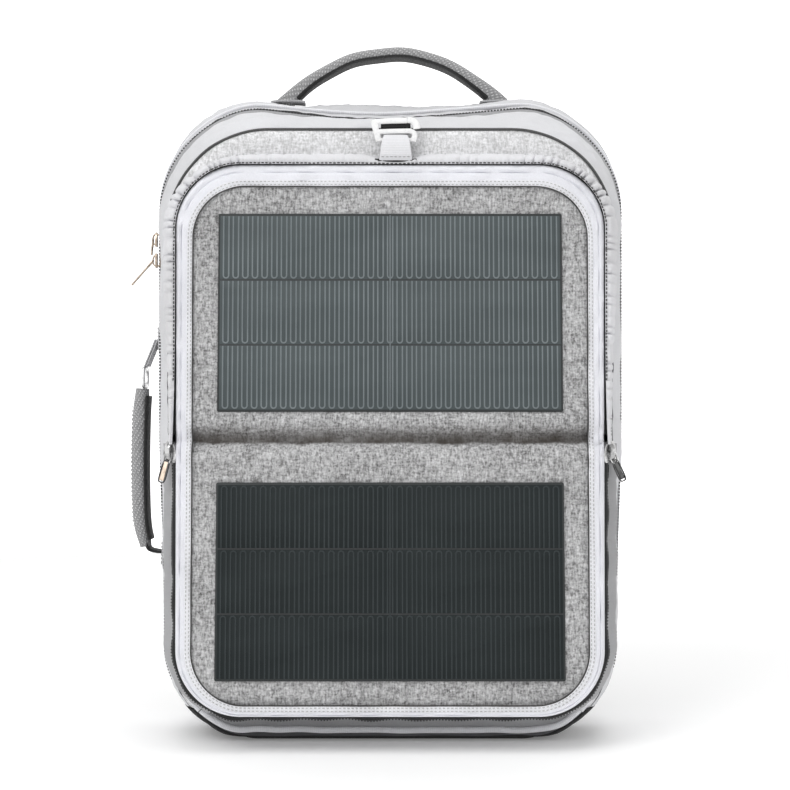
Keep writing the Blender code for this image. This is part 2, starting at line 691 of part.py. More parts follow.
def make_main_sliders():
    """The main zip's two sliders, which meet on the left side, with their pulls."""
    side = body_at(SPLIT_Y).half_at(0.3) + ZIP_PROUD + GAP
    for word, length, lean in (("upper", 0.0120, 0), ("lower", 0.0250, 40)):
        z = MAIN_SLIDER_Z[word]
        centre = (-(side + MAIN_SLIDER[0] / 2), SPLIT_Y, z)
        slide = add_joint(f"main_slider_{word}_slide", centre)
        make_slider(f"main_slider_{word}", centre, MAIN_SLIDER, slide, -1)
        pivot = (-(side + MAIN_SLIDER[0] + 0.0021), SPLIT_Y, z)
        swing = add_joint(f"main_pull_{word}_swing", pivot, slide)
        make_pull(f"main_pull_{word}", pivot, length, swing, lean, STEEL)


# Shoulder straps.


def make_straps():
    """The padded shoulder straps, each with its adjuster and the webbing down to the bag's lower corner."""
    for word, sign in (("left", -1), ("right", 1)):
        joint = add_joint(f"strap_{word}_swing", (sign * 0.055, STRAP_HINGE_Y, STRAP_HINGE_Z))
        route = [
            (sign * 0.055, 0.0824, 0.432), (sign * 0.056, 0.0868, 0.405), (sign * 0.060, 0.0955, 0.340),
            (sign * 0.068, 0.0985, 0.260), (sign * 0.076, 0.0970, 0.200), (sign * 0.082, 0.0935, 0.155),
        ]
        points = smooth_curve(route, 2)
        ends = (0.060, 0.062, 0.066, 0.068, 0.066, 0.062, 0.058, 0.056, 0.054, 0.050, 0.044)
        name = f"shoulder_strap_{word}"
        add_node(name, ribbon(name, points, (1, 0, 0), ends, 0.011, soft=True), GREY_CLOTH, joint)
        name = f"strap_adjuster_{word}"
        buckle = frame_ring(name, (sign * 0.0835, 0.0925, 0.1400), (0.032, 0.004, 0.024), (0.024, 0.014), 1)
        add_node(name, buckle, BLACK_PLASTIC, joint)
        name = f"strap_webbing_{word}"
        route = [(sign * 0.0860, 0.0915, 0.1205), (sign * 0.103, 0.0880, 0.0960), (sign * 0.126, 0.0790, 0.066)]
        points = smooth_curve(route, 3)
        webbing = ribbon(name, points, (1, 0, sign * 0.65), [0.020] * len(points), 0.0016)
        add_node(name, webbing, DARK_CLOTH, joint)
        name = f"strap_anchor_{word}"
        tab = Outline(0.0125, 0.0085, 0.024, 0.052, 0.002, 0.002)
        mesh = plate(name, tab.closed(), level(BACK_Y + 0.0036), level(BACK_Y + 0.0060), shift=sign * 0.130)
        add_node(name, mesh, DARK_CLOTH)


def main():
    for old in list(bpy.data.objects):
        bpy.data.objects.remove(old, do_unlink=True)
    make_rear_shell()
    make_base()
    make_back()
    make_interior()
    shell_joint = add_joint("front_shell_hinge", SHELL_HINGE)
    make_main_zip(shell_joint)
    make_front_shell(shell_joint)
    make_face_half("lower", shell_joint)
    make_pocket_lower(shell_joint)
    make_pocket_contents(shell_joint)
    flap_joint = add_joint("flap_hinge", FLAP_HINGE, shell_joint)
    make_face_half("upper", flap_joint)
    make_flap_contents(flap_joint)
    make_pocket_ruffle(shell_joint)
    make_hook(add_joint("hook_hinge", HOOK_HINGE, shell_joint), shell_joint)
    make_top_handle(add_joint("top_handle_hinge", TOP_HANDLE_HINGE))
    make_side_handle(add_joint("side_handle_hinge", SIDE_HANDLE_HINGE))
    make_pocket_sliders(shell_joint)
    make_main_sliders()
    make_straps()


main()
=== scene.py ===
import math

import bmesh
import bpy
import numpy as np
from mathutils import Matrix, Vector


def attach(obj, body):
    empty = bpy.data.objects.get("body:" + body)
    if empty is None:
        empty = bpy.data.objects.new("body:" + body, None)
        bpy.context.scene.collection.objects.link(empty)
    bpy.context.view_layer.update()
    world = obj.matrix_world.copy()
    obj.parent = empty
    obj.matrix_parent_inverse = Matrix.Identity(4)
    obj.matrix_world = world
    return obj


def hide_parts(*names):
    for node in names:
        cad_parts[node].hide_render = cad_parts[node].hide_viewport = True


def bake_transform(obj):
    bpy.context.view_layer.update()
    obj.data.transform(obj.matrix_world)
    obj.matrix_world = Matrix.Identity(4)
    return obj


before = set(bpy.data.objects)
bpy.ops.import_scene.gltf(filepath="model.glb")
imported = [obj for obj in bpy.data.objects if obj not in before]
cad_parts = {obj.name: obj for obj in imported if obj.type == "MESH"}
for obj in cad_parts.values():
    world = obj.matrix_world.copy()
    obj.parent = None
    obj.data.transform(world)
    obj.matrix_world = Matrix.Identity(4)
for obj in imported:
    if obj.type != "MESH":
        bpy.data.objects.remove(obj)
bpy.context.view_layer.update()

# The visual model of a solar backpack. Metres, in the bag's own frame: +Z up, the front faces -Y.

# ---------------------------------------------------------------------------------------------
# Driving dimensions, the same rules as the solids.

STATIONS = (
    (-0.0380, 0.1600, 0.0045, 0.4400, 0.0550, 0.0740),
    (-0.0340, 0.1635, 0.0040, 0.4460, 0.0550, 0.0750),
    (-0.0200, 0.1685, 0.0040, 0.4550, 0.0560, 0.0760),
    (0.0150, 0.1735, 0.0040, 0.4650, 0.0580, 0.0780),
    (0.0340, 0.1745, 0.0040, 0.4755, 0.0580, 0.0780),
    (0.0560, 0.1745, 0.0040, 0.4755, 0.0580, 0.0780),
    (0.0660, 0.1690, 0.0080, 0.4700, 0.0540, 0.0740),
)
MID_FRONT = -0.034
SPLIT_Y = 0.015
SHELL_BOTTOM = 0.0232
TRAY_TOP = 0.0225
MID_PIPING_FOOT = 0.408
LINING_WALL = 0.003
LINING_REACH = -0.0019  # how far cloth may wave inwards before its lining would show through
CREASE_Z = 0.219
CREASE_Y = -0.0642
POCKET_ZIP_TOP = 0.216
RUFFLE_BACK = -0.0352
HOOK_X, HOOK_Y, HOOK_Z = 0.004, -0.0440, 0.4355


class Outline:
    """A box in the XZ plane with round corners, whose sides may lean a little."""

    def __init__(self, half_low, half_high, low, high, radius_low, radius_high):
        self.half = (half_low, half_high)
        self.ends = (low, high)
        self.radius = (radius_low, radius_high)

    def inset(self, depth):
        return Outline(
            *(half - depth for half in self.half),
            self.ends[0] + depth,
            self.ends[1] - depth,
            *(radius - depth for radius in self.radius),
        )

    def centre(self, top):
        z = self.ends[top] + (-self.radius[top] if top else self.radius[top])
        return self.half[top] - self.radius[top], z

    def half_at(self, z):
        """Half the width at any height, round corners included."""
        (x_low, z_low), (x_high, z_high) = self.centre(0), self.centre(1)
        if z < z_low:
            return x_low + math.sqrt(max(self.radius[0] ** 2 - (z_low - z) ** 2, 0.0))
        if z > z_high:
            return x_high + math.sqrt(max(self.radius[1] ** 2 - (z - z_high) ** 2, 0.0))
        return self.half[0] + (self.half[1] - self.half[0]) * (z - z_low) / (z_high - z_low)

    def corner(self, top, start, end, count):
        x, z = self.centre(top)
        angles = np.linspace(start, end, count)
        return [(x + self.radius[top] * math.cos(a), z + self.radius[top] * math.sin(a)) for a in angles]

    def side(self, start, end, count):
        return [(self.half_at(z), z) for z in np.linspace(start, end, count + 2)[1:-1]]

    def level(self, top, count):
        """From the corner's end to the middle, without the corner's own point."""
        x = self.centre(top)[0]
        return [(x * (1 - i / count), self.ends[top]) for i in range(1, count + 1)]

    def closed(self, dense=1):
        """Once round, counter-clockwise as the front sees it, from the bottom's middle."""
        low, high = self.centre(0)[1], self.centre(1)[1]
        right = self.level(0, 10 * dense)[::-1]
        right += self.corner(0, -math.pi / 2, 0, 14 * dense)
        right += self.side(low, high, 34 * dense)
        right += self.corner(1, 0, math.pi / 2, 14 * dense)
        right += self.level(1, 10 * dense)
        return np.array(right + [(-x, z) for x, z in right[-2:0:-1]])

    def arch(self, cut, dense=1):
        """From the left end at the cut, over the top, to the right end."""
        low, high = self.centre(0)[1], self.centre(1)[1]
        right = []
        if cut < low:
            right += self.corner(0, math.asin((cut - low) / self.radius[0]), 0, 10 * dense)
        right += [
            (self.half_at(z), z) for z in np.linspace(max(cut, low), high, 34 * dense)[int(cut < low):-1]
        ]
        right += self.corner(1, 0, math.pi / 2, 16 * dense) + self.level(1, 12 * dense)
        return np.array([(-x, z) for x, z in right] + right[-2::-1])

    def trough(self, cut, dense=1):
        """From the left end at the cut, under the bottom, to the right end."""
        low = self.centre(0)[1]
        right = []
        if cut > low:
            right += [(self.half_at(z), z) for z in np.linspace(cut, low, 24 * dense)[:-1]]
        start = 0 if cut > low else math.asin((cut - low) / self.radius[0])
        right += self.corner(0, start, -math.pi / 2, 16 * dense) + self.level(0, 12 * dense)
        return np.array([(-x, z) for x, z in right] + right[-2::-1])


def body_at(y):
    """The bag's outline at one depth."""
    y = min(max(y, STATIONS[0][0]), STATIONS[-1][0])
    for first, second in zip(STATIONS, STATIONS[1:]):
        if y <= second[0]:
            break
    share = (y - first[0]) / (second[0] - first[0])
    half, low, high, r_low, r_high = (a + share * (b - a) for a, b in zip(first[1:], second[1:]))
    return Outline(half, half, low, high, r_low, r_high)


FACE = Outline(0.151, 0.154, 0.0256, 0.417, 0.0465, 0.0465)
CLOTH = Outline(0.1400, 0.1415, 0.0335, 0.401, 0.038, 0.037)
RUFFLE = Outline(0.1595, 0.167, 0.205, 0.427, 0.010, 0.056)
RUFFLE_INNER = Outline(0.1555, 0.1553, 0.205, 0.4185, 0.010, 0.0478)
POCKET_FOOT = Outline(0.156, 0.158, 0.0264, 0.417, 0.049, 0.0465)


def face_y(z):
    """The depth of the pocket's face, which bends at the crease."""
    z = np.asarray(z, float)
    lower = -0.0840 + (z - 0.0256) * (CREASE_Y + 0.0840) / (CREASE_Z - 0.0256)
    upper = CREASE_Y + (z - CREASE_Z) * (-0.0480 - CREASE_Y) / (0.417 - CREASE_Z)
    return np.where(z < CREASE_Z, lower, upper)


def face_at(z):
    return float(face_y(z))


def crease_dip(z, depth):
    """How far the face folds in at the crease: a steep lip above it, a rounder one below."""
    u = np.asarray(z, float) - CREASE_Z
    fold = np.where(u > 0, np.exp(-((u / 0.0062) ** 2)), np.exp(-((u / 0.0042) ** 2)))
    lips = 0.30 * np.exp(-(((u - 0.017) / 0.0080) ** 2)) + 0.30 * np.exp(-(((u + 0.013) / 0.0065) ** 2))
    return depth * (fold - lips)


# ---------------------------------------------------------------------------------------------
# Mesh tools.


def ripple(points, size, seed):
    """A smooth, repeatable wander between about -1 and 1 whose lumps are about size across."""
    draw = np.random.default_rng(seed)
    ways = draw.normal(size=(8, 3))
    ways *= (2 * math.pi / size * draw.uniform(0.55, 1.5, 8) / np.linalg.norm(ways, axis=1))[:, None]
    return np.sin(np.asarray(points) @ ways.T + draw.uniform(0, 2 * math.pi, 8)).sum(-1) / 3.2


FOOT_DRAW = 0.021


def top_sag(points, amount=0.0065):
    """The soft shell dips between the handle's ends, most at the main zip, and draws in towards its foot."""
    x, y, z = points[..., 0], points[..., 1], points[..., 2]
    across = np.exp(-(((x + 0.010) / 0.062) ** 2)) - 0.35 * np.exp(-(((np.abs(x) - 0.105) / 0.03) ** 2))
    along = np.exp(-(((y - SPLIT_Y) / 0.020) ** 2))
    up = np.clip((z - 0.40) / 0.05, 0, 1)
    moved = points.copy()
    moved[..., 2] -= amount * across * along * up
    low = np.clip((0.235 - z) / 0.150, 0, 1)
    moved[..., 0] *= 1 - FOOT_DRAW * low * low * (3 - 2 * low)
    return moved


def make_mesh(name, points, faces, looks, indices=None, smooth=True, coords=None):
    mesh = bpy.data.meshes.new(name)
    mesh.from_pydata(np.asarray(points, float).reshape(-1, 3).tolist(), [], faces)
    for look in looks if isinstance(looks, (list, tuple)) else [looks]:
        mesh.materials.append(look)
    if indices is not None:
        mesh.polygons.foreach_set("material_index", indices)
    if coords is not None:
        kept = mesh.attributes.new("cloth", "FLOAT_VECTOR", "CORNER")
        kept.data.foreach_set("vector", np.asarray(coords, np.float32).reshape(-1))
    if smooth:
        mesh.shade_smooth()
        mesh.set_sharp_from_angle(angle=math.radians(50))
    mesh.update()
    obj = bpy.data.objects.new(name, mesh)
    bpy.context.scene.collection.objects.link(obj)
    return obj


def turn_out(obj):
    """Faces of a closed mesh point outwards."""
    shape = bmesh.new()
    shape.from_mesh(obj.data)
    bmesh.ops.recalc_face_normals(shape, faces=shape.faces)
    shape.to_mesh(obj.data)
    shape.free()
    return obj


def skin(
    name, grid, look, wrap_rows=False, wrap_columns=True, caps=True, inner=None, inner_from=0, by_row=False
):
    """A surface over rows of points. inner is a second look for the columns (or rows) from inner_from on."""
    grid = np.asarray(grid, float)
    rows, columns = grid.shape[:2]
    along = np.concatenate([[0], np.linalg.norm(np.diff(grid.mean(1), axis=0), axis=1)]).cumsum()
    middle = grid[rows // 2]
    across = np.concatenate([[0], np.linalg.norm(np.diff(middle, axis=0), axis=1)]).cumsum()
    faces, coords, kinds = [], [], []
    row_pairs = [(i, i + 1) for i in range(rows - 1)] + ([(rows - 1, 0)] if wrap_rows else [])
    column_pairs = [(j, j + 1) for j in range(columns - 1)] + ([(columns - 1, 0)] if wrap_columns else [])
    step_row, step_column = along[-1] / (rows - 1), across[-1] / max(columns - 1, 1)
    for i, k in row_pairs:
        s, t = along[i], along[k] if k > i else along[i] + step_row
        for j, m in column_pairs:
            u, v = across[j], across[m] if m > j else across[j] + step_column
            faces.append((i * columns + j, i * columns + m, k * columns + m, k * columns + j))
            coords += [(u, s, 0), (v, s, 0), (v, t, 0), (u, t, 0)]
            kinds.append(int(inner is not None and (i if by_row else j) >= inner_from))
    if caps and wrap_columns and not wrap_rows:
        for first in (0, (rows - 1) * columns):
            faces.append(tuple(range(first, first + columns)))
            coords += [(across[j], along[0 if first == 0 else -1], 0) for j in range(columns)]
            kinds.append(int(by_row and first > 0))
    looks = [look, inner] if inner is not None else look
    obj = make_mesh(name, grid, faces, looks, kinds, coords=coords)
    return turn_out(obj)


def rows_across(paths, depths):
    """Sections of a band: one point on each path, at that path's depth, for every place along them."""
    return np.array([[(x, y, z) for (x, z), y in zip(points, depths)] for points in zip(*paths)])


def rings_of(outline, stops, x=0.0, dense=1):
    """The outline at each stop of (inset, depth), for a plate with eased edges centred on x."""
    return [[(x + px, y, z) for px, z in outline.inset(inset).closed(dense)] for inset, y in stops]


def level_path(path, y):
    """A path in the XZ plane as points at one depth."""
    return np.array([(x, y, z) for x, z in path])


def smooth_curve(points, pieces):
    points = [Vector(point) for point in points]
    held = [2 * points[0] - points[1]] + points + [2 * points[-1] - points[-2]]
    made = []
    for a, b, c, d in zip(held, held[1:], held[2:], held[3:]):
        for i in range(pieces):
            t = i / pieces
            made.append(
                0.5 * (
                    2 * b + (c - a) * t + (2 * a - 5 * b + 4 * c - d) * t**2 + (3 * b - a - 3 * c + d) * t**3
                )
            )
    return np.array([tuple(p) for p in made + [points[-1]]])


def evenly(points, step, closed=False):
    """Points a fixed step apart along a line, with their directions."""
    points = np.asarray(points, float)
    if closed:
        points = np.vstack([points, points[:1]])
    lengths = np.concatenate([[0], np.linalg.norm(np.diff(points, axis=0), axis=1)]).cumsum()
    count = max(int(lengths[-1] / step), 2)
    stops = np.linspace(0, lengths[-1], count + 1)[: count if closed else count + 1]
    places = np.stack([np.interp(stops, lengths, points[:, k]) for k in range(3)], -1)
    ahead = np.stack([np.interp(stops + step * 0.3, lengths, points[:, k]) for k in range(3)], -1)
    behind = np.stack([np.interp(stops - step * 0.3, lengths, points[:, k]) for k in range(3)], -1)
    ways = ahead - behind
    return places, ways / np.maximum(np.linalg.norm(ways, axis=1), 1e-9)[:, None]


def round_cord(name, points, radius, look, sides=10, closed=False):
    """A round cord through points."""
    points = np.asarray(points, float)
    count = len(points)
    rows, side = [], None
    for i in range(count):
        before = points[(i - 1) % count] if closed else points[max(i - 1, 0)]
        after = points[(i + 1) % count] if closed else points[min(i + 1, count - 1)]
        along = (after - before) / np.linalg.norm(after - before)
        if side is None:
            side = np.cross(along, (0.3, 0.9, 0.2))
        side = side - along * (side @ along)
        side /= np.linalg.norm(side)
        other = np.cross(along, side)
        width = radius[i] if np.ndim(radius) else radius
        turns = np.linspace(0, 2 * math.pi, sides, endpoint=False)
        rows.append(points[i] + width * (np.outer(np.cos(turns), side) + np.outer(np.sin(turns), other)))
    return skin(name, rows, look, wrap_rows=closed)


def strap_rows(points, across, widths, thicks, sides=20, power=4.0):
    """Sections of a strap along points: flat ovals, squarer with a higher power."""
    points = np.asarray(points, float)
    turns = np.linspace(0, 2 * math.pi, sides, endpoint=False)
    c, s = np.cos(turns), np.sin(turns)
    size = (np.abs(c) ** power + np.abs(s) ** power) ** (-1 / power)
    rows = []
    for i, point in enumerate(points):
        along = points[min(i + 1, len(points) - 1)] - points[max(i - 1, 0)]
        along /= np.linalg.norm(along)
        side = np.asarray(across if np.ndim(across) == 1 else across[i], float)
        side = side - along * (side @ along)
        side /= np.linalg.norm(side)
        normal = np.cross(along, side)
        rows.append(
            point + np.outer(c * size * widths[i] / 2, side) + np.outer(s * size * thicks[i] / 2, normal)
        )
    return np.array(rows)


def strap(name, points, across, widths, thicks, look, sides=20, power=4.0):
    """A strap along points. Its width and thickness are each one number, or stops spread evenly along it."""
    share = np.linspace(0, 1, len(points))
    sizes = [np.atleast_1d(size) for size in (widths, thicks)]
    widths, thicks = (np.interp(share, np.linspace(0, 1, len(size)), size) for size in sizes)
    return skin(name, strap_rows(points, across, widths, thicks, sides, power), look)


def blocks(name, places, ways, outs, size, look, round_ends=False):
    """One small block at each place: size is (along the way, across it, out of the surface)."""
    corners = np.array([(a, b, c) for a in (-0.5, 0.5) for b in (-0.5, 0.5) for c in (-0.5, 0.5)])
    if round_ends:
        corners[:, 1] *= np.where(corners[:, 2] > 0, 0.7, 1.0)
        corners[:, 0] *= np.where(corners[:, 2] > 0, 0.75, 1.0)
    quads = np.array([(0, 1, 3, 2), (4, 6, 7, 5), (0, 4, 5, 1), (2, 3, 7, 6), (0, 2, 6, 4), (1, 5, 7, 3)])
    points, faces = [], []
    for k, (place, way, out) in enumerate(zip(places, ways, outs)):
        side = np.cross(way, out)
        side /= np.linalg.norm(side)
        out = np.cross(side, way)
        frame_axes = np.array([way * size[0], side * size[1], out * size[2]])
        points.append(place + corners @ frame_axes)
        faces += (quads + 8 * k).tolist()
    return turn_out(make_mesh(name, np.concatenate(points), faces, look, smooth=False))


def stitches(name, line, outs, look, pitch=0.0028, length=0.0017, width=0.0006, closed=False):
    """A row of stitches along a line, standing a little out of the surface."""
    places, ways = evenly(line, pitch, closed)
    if callable(outs):
        outs = [outs(place) for place in places]
    else:
        outs = [np.asarray(outs, float)] * len(places)
    return blocks(name, places, ways, outs, (length, width, width * 0.9), look, round_ends=True)


def join(name, objects):
    """Several meshes made one piece."""
    shape = bmesh.new()
    looks = []
    for obj in objects:
        offset = len(looks)
        looks += list(obj.data.materials)
        start = len(shape.faces)
        shape.from_mesh(obj.data)
        shape.faces.ensure_lookup_table()
        for face in shape.faces[start:]:
            face.material_index += offset
    mesh = bpy.data.meshes.new(name)
    shape.to_mesh(mesh)
    shape.free()
    for look in looks:
        mesh.materials.append(look)
    for obj in objects:
        bpy.data.objects.remove(obj, do_unlink=True)
    obj = bpy.data.objects.new(name, mesh)
    bpy.context.scene.collection.objects.link(obj)
    return obj


def settle(obj, body, slot, *nodes):
    """The piece rides on a body and stands for CAD nodes, which are hidden; the slot is not used."""
    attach(obj, body)
    if nodes:
        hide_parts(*nodes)
    return obj


def sew(body, slot, *row, **options):
    """A row of stitches, settled on a body."""
    settle(stitches(*row, **options), body, slot)


def settle_bend(obj, moving, start, end, slot, *nodes):
    """The piece keeps its place, with its transform baked in, and stands for CAD nodes; moving, start, end
    and slot are not used.
    """
    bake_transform(obj)
    if nodes:
        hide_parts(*nodes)
    return obj


def settle_fold(obj, slot, *nodes):
    """The piece keeps its place, with its transform baked in, and stands for CAD nodes; the slot is not
    used.
    """
    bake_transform(obj)
    if nodes:
        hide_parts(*nodes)
    return obj


# ---------------------------------------------------------------------------------------------
# Finishes. Every one is procedural, on the object's own coordinates or along the cloth.


class Look:
    """A finish, built up node by node. A colour or number may be given wherever a link may."""

    def __init__(self, name, rough=0.85, metal=0.0, sheen=0.0, coat=0.0, specular=0.5):
        self.material = bpy.data.materials.new(name)
        self.material.use_nodes = True
        self.tree = self.material.node_tree
        self.shader = next(node for node in self.tree.nodes if node.type == "BSDF_PRINCIPLED")
        self.shader.inputs["Roughness"].default_value = rough
        self.shader.inputs["Metallic"].default_value = metal
        self.shader.inputs["Sheen Weight"].default_value = sheen
        self.shader.inputs["Coat Weight"].default_value = coat
        self.shader.inputs["Specular IOR Level"].default_value = specular
        self.height = None

    def add(self, kind, settings=(), inputs=(), output=0):
        node = self.tree.nodes.new("ShaderNode" + kind)
        for key, value in dict(settings).items():
            setattr(node, key, value)
        for key, value in dict(inputs).items():
            self.put(node.inputs[key], value)
        return node.outputs[output]

    def put(self, socket, value):
        if isinstance(value, bpy.types.NodeSocket):
            self.tree.links.new(value, socket)
        elif isinstance(value, tuple) and len(value) == 3 and socket.type == "RGBA":
            socket.default_value = (*value, 1)
        else:
            socket.default_value = value

    def sum(self, operation, first, second=0.0, third=0.0):
        settings = {"operation": operation}
        return self.add("Math", settings, {0: first, 1: second, 2: third})

    def place(self, cloth=False):
        if cloth:
            return self.add("Attribute", {"attribute_name": "cloth"}, output=1)
        return self.add("TexCoord", output=3)

    def scaled(self, place, scale):
        return self.add("VectorMath", {"operation": "MULTIPLY"}, {0: place, 1: scale})

    def turned(self, place):
        """X and Z as the first two coordinates."""
        x, _, z = self.axes(place)
        return self.add("CombineXYZ", {}, {0: x, 1: z})

    def noise(self, place, scale, detail=2.0, low=0.35, high=0.65):
        """Noise stretched per axis, brought to 0..1 between low and high."""
        if isinstance(scale, tuple):
            place, scale = self.scaled(place, scale), 1.0
        made = self.add("TexNoise", {}, {"Vector": place, "Scale": scale, "Detail": detail})
        return self.add("MapRange", {}, {"Value": made, "From Min": low, "From Max": high})

    def line(self, axis_value, pitch):
        """A wave of 0..1 along one coordinate."""
        turned = self.sum("SINE", self.sum("MULTIPLY", axis_value, 2 * math.pi / pitch))
        return self.sum("MULTIPLY_ADD", turned, 0.5, 0.5)

    def axes(self, place):
        node = self.tree.nodes.new("ShaderNodeSeparateXYZ")
        self.put(node.inputs[0], place)
        return node.outputs

    def mix(self, share, first, second):
        node = self.tree.nodes.new("ShaderNodeMix")
        node.data_type = "RGBA"
        for key, value in (("Factor_Float", share), ("A_Color", first), ("B_Color", second)):
            socket = next(s for s in node.inputs if s.identifier == key)
            self.put(socket, value)
        return next(s for s in node.outputs if s.identifier == "Result_Color")

    def raise_by(self, height, strength=0.4, distance=0.0006):
        """Another layer of bumps over the last one."""
        inputs = {"Height": height, "Strength": strength, "Distance": distance}
        if self.height is not None:
            inputs["Normal"] = self.height
        self.height = self.add("Bump", {}, inputs)
        self.put(self.shader.inputs["Normal"], self.height)

    def done(self, colour, rough=None):
        self.put(self.shader.inputs["Base Color"], colour)
        if rough is not None:
            self.put(self.shader.inputs["Roughness"], rough)
        return self.material


def shade(level, warm=0.0, blue=0.0):
    """A colour from its screen brightness (0..1), a touch warmer or bluer."""
    return tuple(max(c, 0.0) ** 2.2 for c in (level + warm, level, level - warm + blue))


def woven_height(look, place, pitch):
    """Over-and-under threads, a little uneven."""
    x, y, z = look.axes(place)
    first, second = look.line(look.sum("ADD", x, y), pitch), look.line(look.sum("ADD", z, y), pitch)
    return look.sum("MULTIPLY", first, second)


def melange(name, dark, light, streak=1.0, shadow=None):
    """Cloth of mottled yarns: short streaks both ways, slubs, broad tone drift and a fine weave."""
    look = Look(name, rough=0.92, sheen=0.15, specular=0.2)
    place = look.place()
    level = look.noise(place, (230.0, 230.0, 620.0 * streak), 4.0, 0.38, 0.62)
    upright = look.noise(place, (720.0 * streak, 500.0, 210.0), 4.0, 0.38, 0.62)
    speck = look.noise(place, 780.0, 2.0, 0.38, 0.62)
    broad = look.noise(place, 26.0, 4.0, 0.32, 0.68)
    share = look.sum("MULTIPLY_ADD", upright, 0.34, look.sum("MULTIPLY", level, 0.26))
    share = look.sum("ADD", share, look.sum("MULTIPLY", speck, 0.24))
    share = look.sum("ADD", share, look.sum("MULTIPLY", broad, 0.16))
    colour = look.mix(share, dark, light)
    if shadow is not None:
        # Painted shade in the fold under the flap, tinted brown: darkest along its sharp lower edge, fading
        # upwards, in patches.
        low, high, tint = shadow
        wander = look.noise(place, (38.0, 0.0, 0.0), 2.0, 0.3, 0.7)
        z = look.sum("MULTIPLY_ADD", wander, 0.0022, look.axes(place)[2])
        fade = look.add("MapRange", {"interpolation_type": "SMOOTHSTEP"},
                        {"Value": z, "From Min": low, "From Max": high, "To Min": 0.95, "To Max": 0.0})
        above = look.add(
            "MapRange", {"interpolation_type": "SMOOTHSTEP"},
            {"Value": z, "From Min": low - 0.0022, "From Max": low},
        )
        patchy = look.sum("MULTIPLY_ADD", look.noise(place, (90.0, 90.0, 45.0), 3.0, 0.3, 0.7), 0.3, 0.7)
        crease_shade = look.sum("MULTIPLY", look.sum("MULTIPLY", fade, above), patchy)
        colour = look.mix(crease_shade, colour, tint)
    look.raise_by(look.noise(place, (500.0, 500.0, 500.0), 3.0, 0.2, 0.8), 0.35, 0.0005)
    look.raise_by(woven_height(look, place, 0.0011), 0.3, 0.0003)
    rough = look.sum("MULTIPLY_ADD", speck, 0.12, 0.84)
    return look.done(colour, rough)


def fabric(name, dark, light, pitch=0.0009, creases=0.0, cloth=False, sheen=0.1, rough=0.86):
    """Plain woven cloth with slight tone drift, a weave, and soft creases in the surface."""
    look = Look(name, rough=rough, sheen=sheen, specular=0.25)
    place = look.place(cloth)
    thread = look.noise(place, 1100.0, 2.0, 0.3, 0.7)
    drift = look.noise(place, 14.0, 3.0, 0.3, 0.7)
    share = look.sum("MULTIPLY_ADD", thread, 0.35, look.sum("MULTIPLY", drift, 0.65))
    if creases:
        look.raise_by(look.noise(place, 42.0, 3.0, 0.2, 0.8), 0.5, creases)
    look.raise_by(woven_height(look, place, pitch), 0.4, 0.0003)
    return look.done(look.mix(share, dark, light), look.sum("MULTIPLY_ADD", thread, 0.1, rough - 0.05))


def ribbed(name, dark, light, pitch=0.0016, depth=0.0005, rough=0.75, wear=None):
    """Webbing: ribs run along the cloth's first coordinate, with a finer thread across them."""
    look = Look(name, rough=rough, sheen=0.12, specular=0.3)
    place = look.place(cloth=True)
    x, y, _ = look.axes(place)
    rib = look.line(y, pitch)
    thread = look.line(x, pitch * 0.62)
    height = look.sum("MULTIPLY_ADD", thread, 0.35, rib)
    fuzz = look.noise(look.place(), 900.0, 2.0, 0.3, 0.7)
    drift = look.noise(look.place(), 22.0, 3.0, 0.3, 0.7)
    share = look.sum("MULTIPLY_ADD", fuzz, 0.3, look.sum("MULTIPLY", look.sum("ADD", rib, drift), 0.35))
    look.raise_by(height, 0.7, depth)
    colour = look.mix(share, dark, light)
    if wear is not None:
        colour = look.mix(look.noise(look.place(), 75.0, 4.0, 0.56, 0.8), colour, wear)
    return look.done(colour, look.sum("MULTIPLY_ADD", fuzz, 0.15, rough - 0.08))


def tweed(name, dark, mid, light):
    """Coarse webbing of mid and light yarns, laid in slanting stitches, darker in the hollows between them:
    painted shade, patchy.
    """
    look = Look(name, rough=0.85, sheen=0.15, specular=0.25)
    x, y, _ = look.axes(look.place(cloth=True))
    slant = look.line(look.sum("MULTIPLY_ADD", x, 0.75, y), 0.0026)
    cross = look.line(look.sum("MULTIPLY_ADD", y, -0.60, x), 0.0034)
    yarn = look.sum("MULTIPLY", slant, cross)
    speck = look.noise(look.place(), 950.0, 2.0, 0.30, 0.70)
    colour = look.mix(look.sum("MULTIPLY_ADD", speck, 0.5, look.sum("MULTIPLY", yarn, 0.5)), mid, light)
    # Painted shade in the hollows between the yarns, patchy with the speckle.
    hollow_shade = look.sum(
        "MULTIPLY", look.sum("SUBTRACT", 1.0, yarn), look.sum("MULTIPLY_ADD", speck, 0.4, 0.15)
    )
    colour = look.mix(hollow_shade, colour, dark)
    look.raise_by(yarn, 0.9, 0.0009)
    return look.done(colour)


def spacer_mesh(name, dark, light, cell=0.0042):
    """Open back mesh: a lattice of small holes over foam."""
    look = Look(name, rough=0.9, sheen=0.2, specular=0.2)
    place = look.place()
    flat = look.scaled(place, (1.0, 0.0, 1.0))
    holes = look.add(
        "TexVoronoi", {"voronoi_dimensions": "2D"},
        {"Vector": look.turned(flat), "Scale": 1 / cell, "Randomness": 0.1},
    )
    open_share = look.add("MapRange", {}, {"Value": holes, "From Min": 0.22, "From Max": 0.42})
    drift = look.noise(place, 16.0, 3.0, 0.3, 0.7)
    fibre = look.noise(place, 1200.0, 2.0, 0.3, 0.7)
    light = look.mix(look.sum("MULTIPLY_ADD", drift, 0.6, look.sum("MULTIPLY", fibre, 0.4)), dark, light)
    # The holes are painted dark: painted shade in them, over the foam.
    hole = tuple(c * 0.35 for c in dark)
    look.raise_by(open_share, 0.8, 0.001)
    look.raise_by(fibre, 0.3, 0.0003)
    return look.done(look.mix(open_share, hole, light))


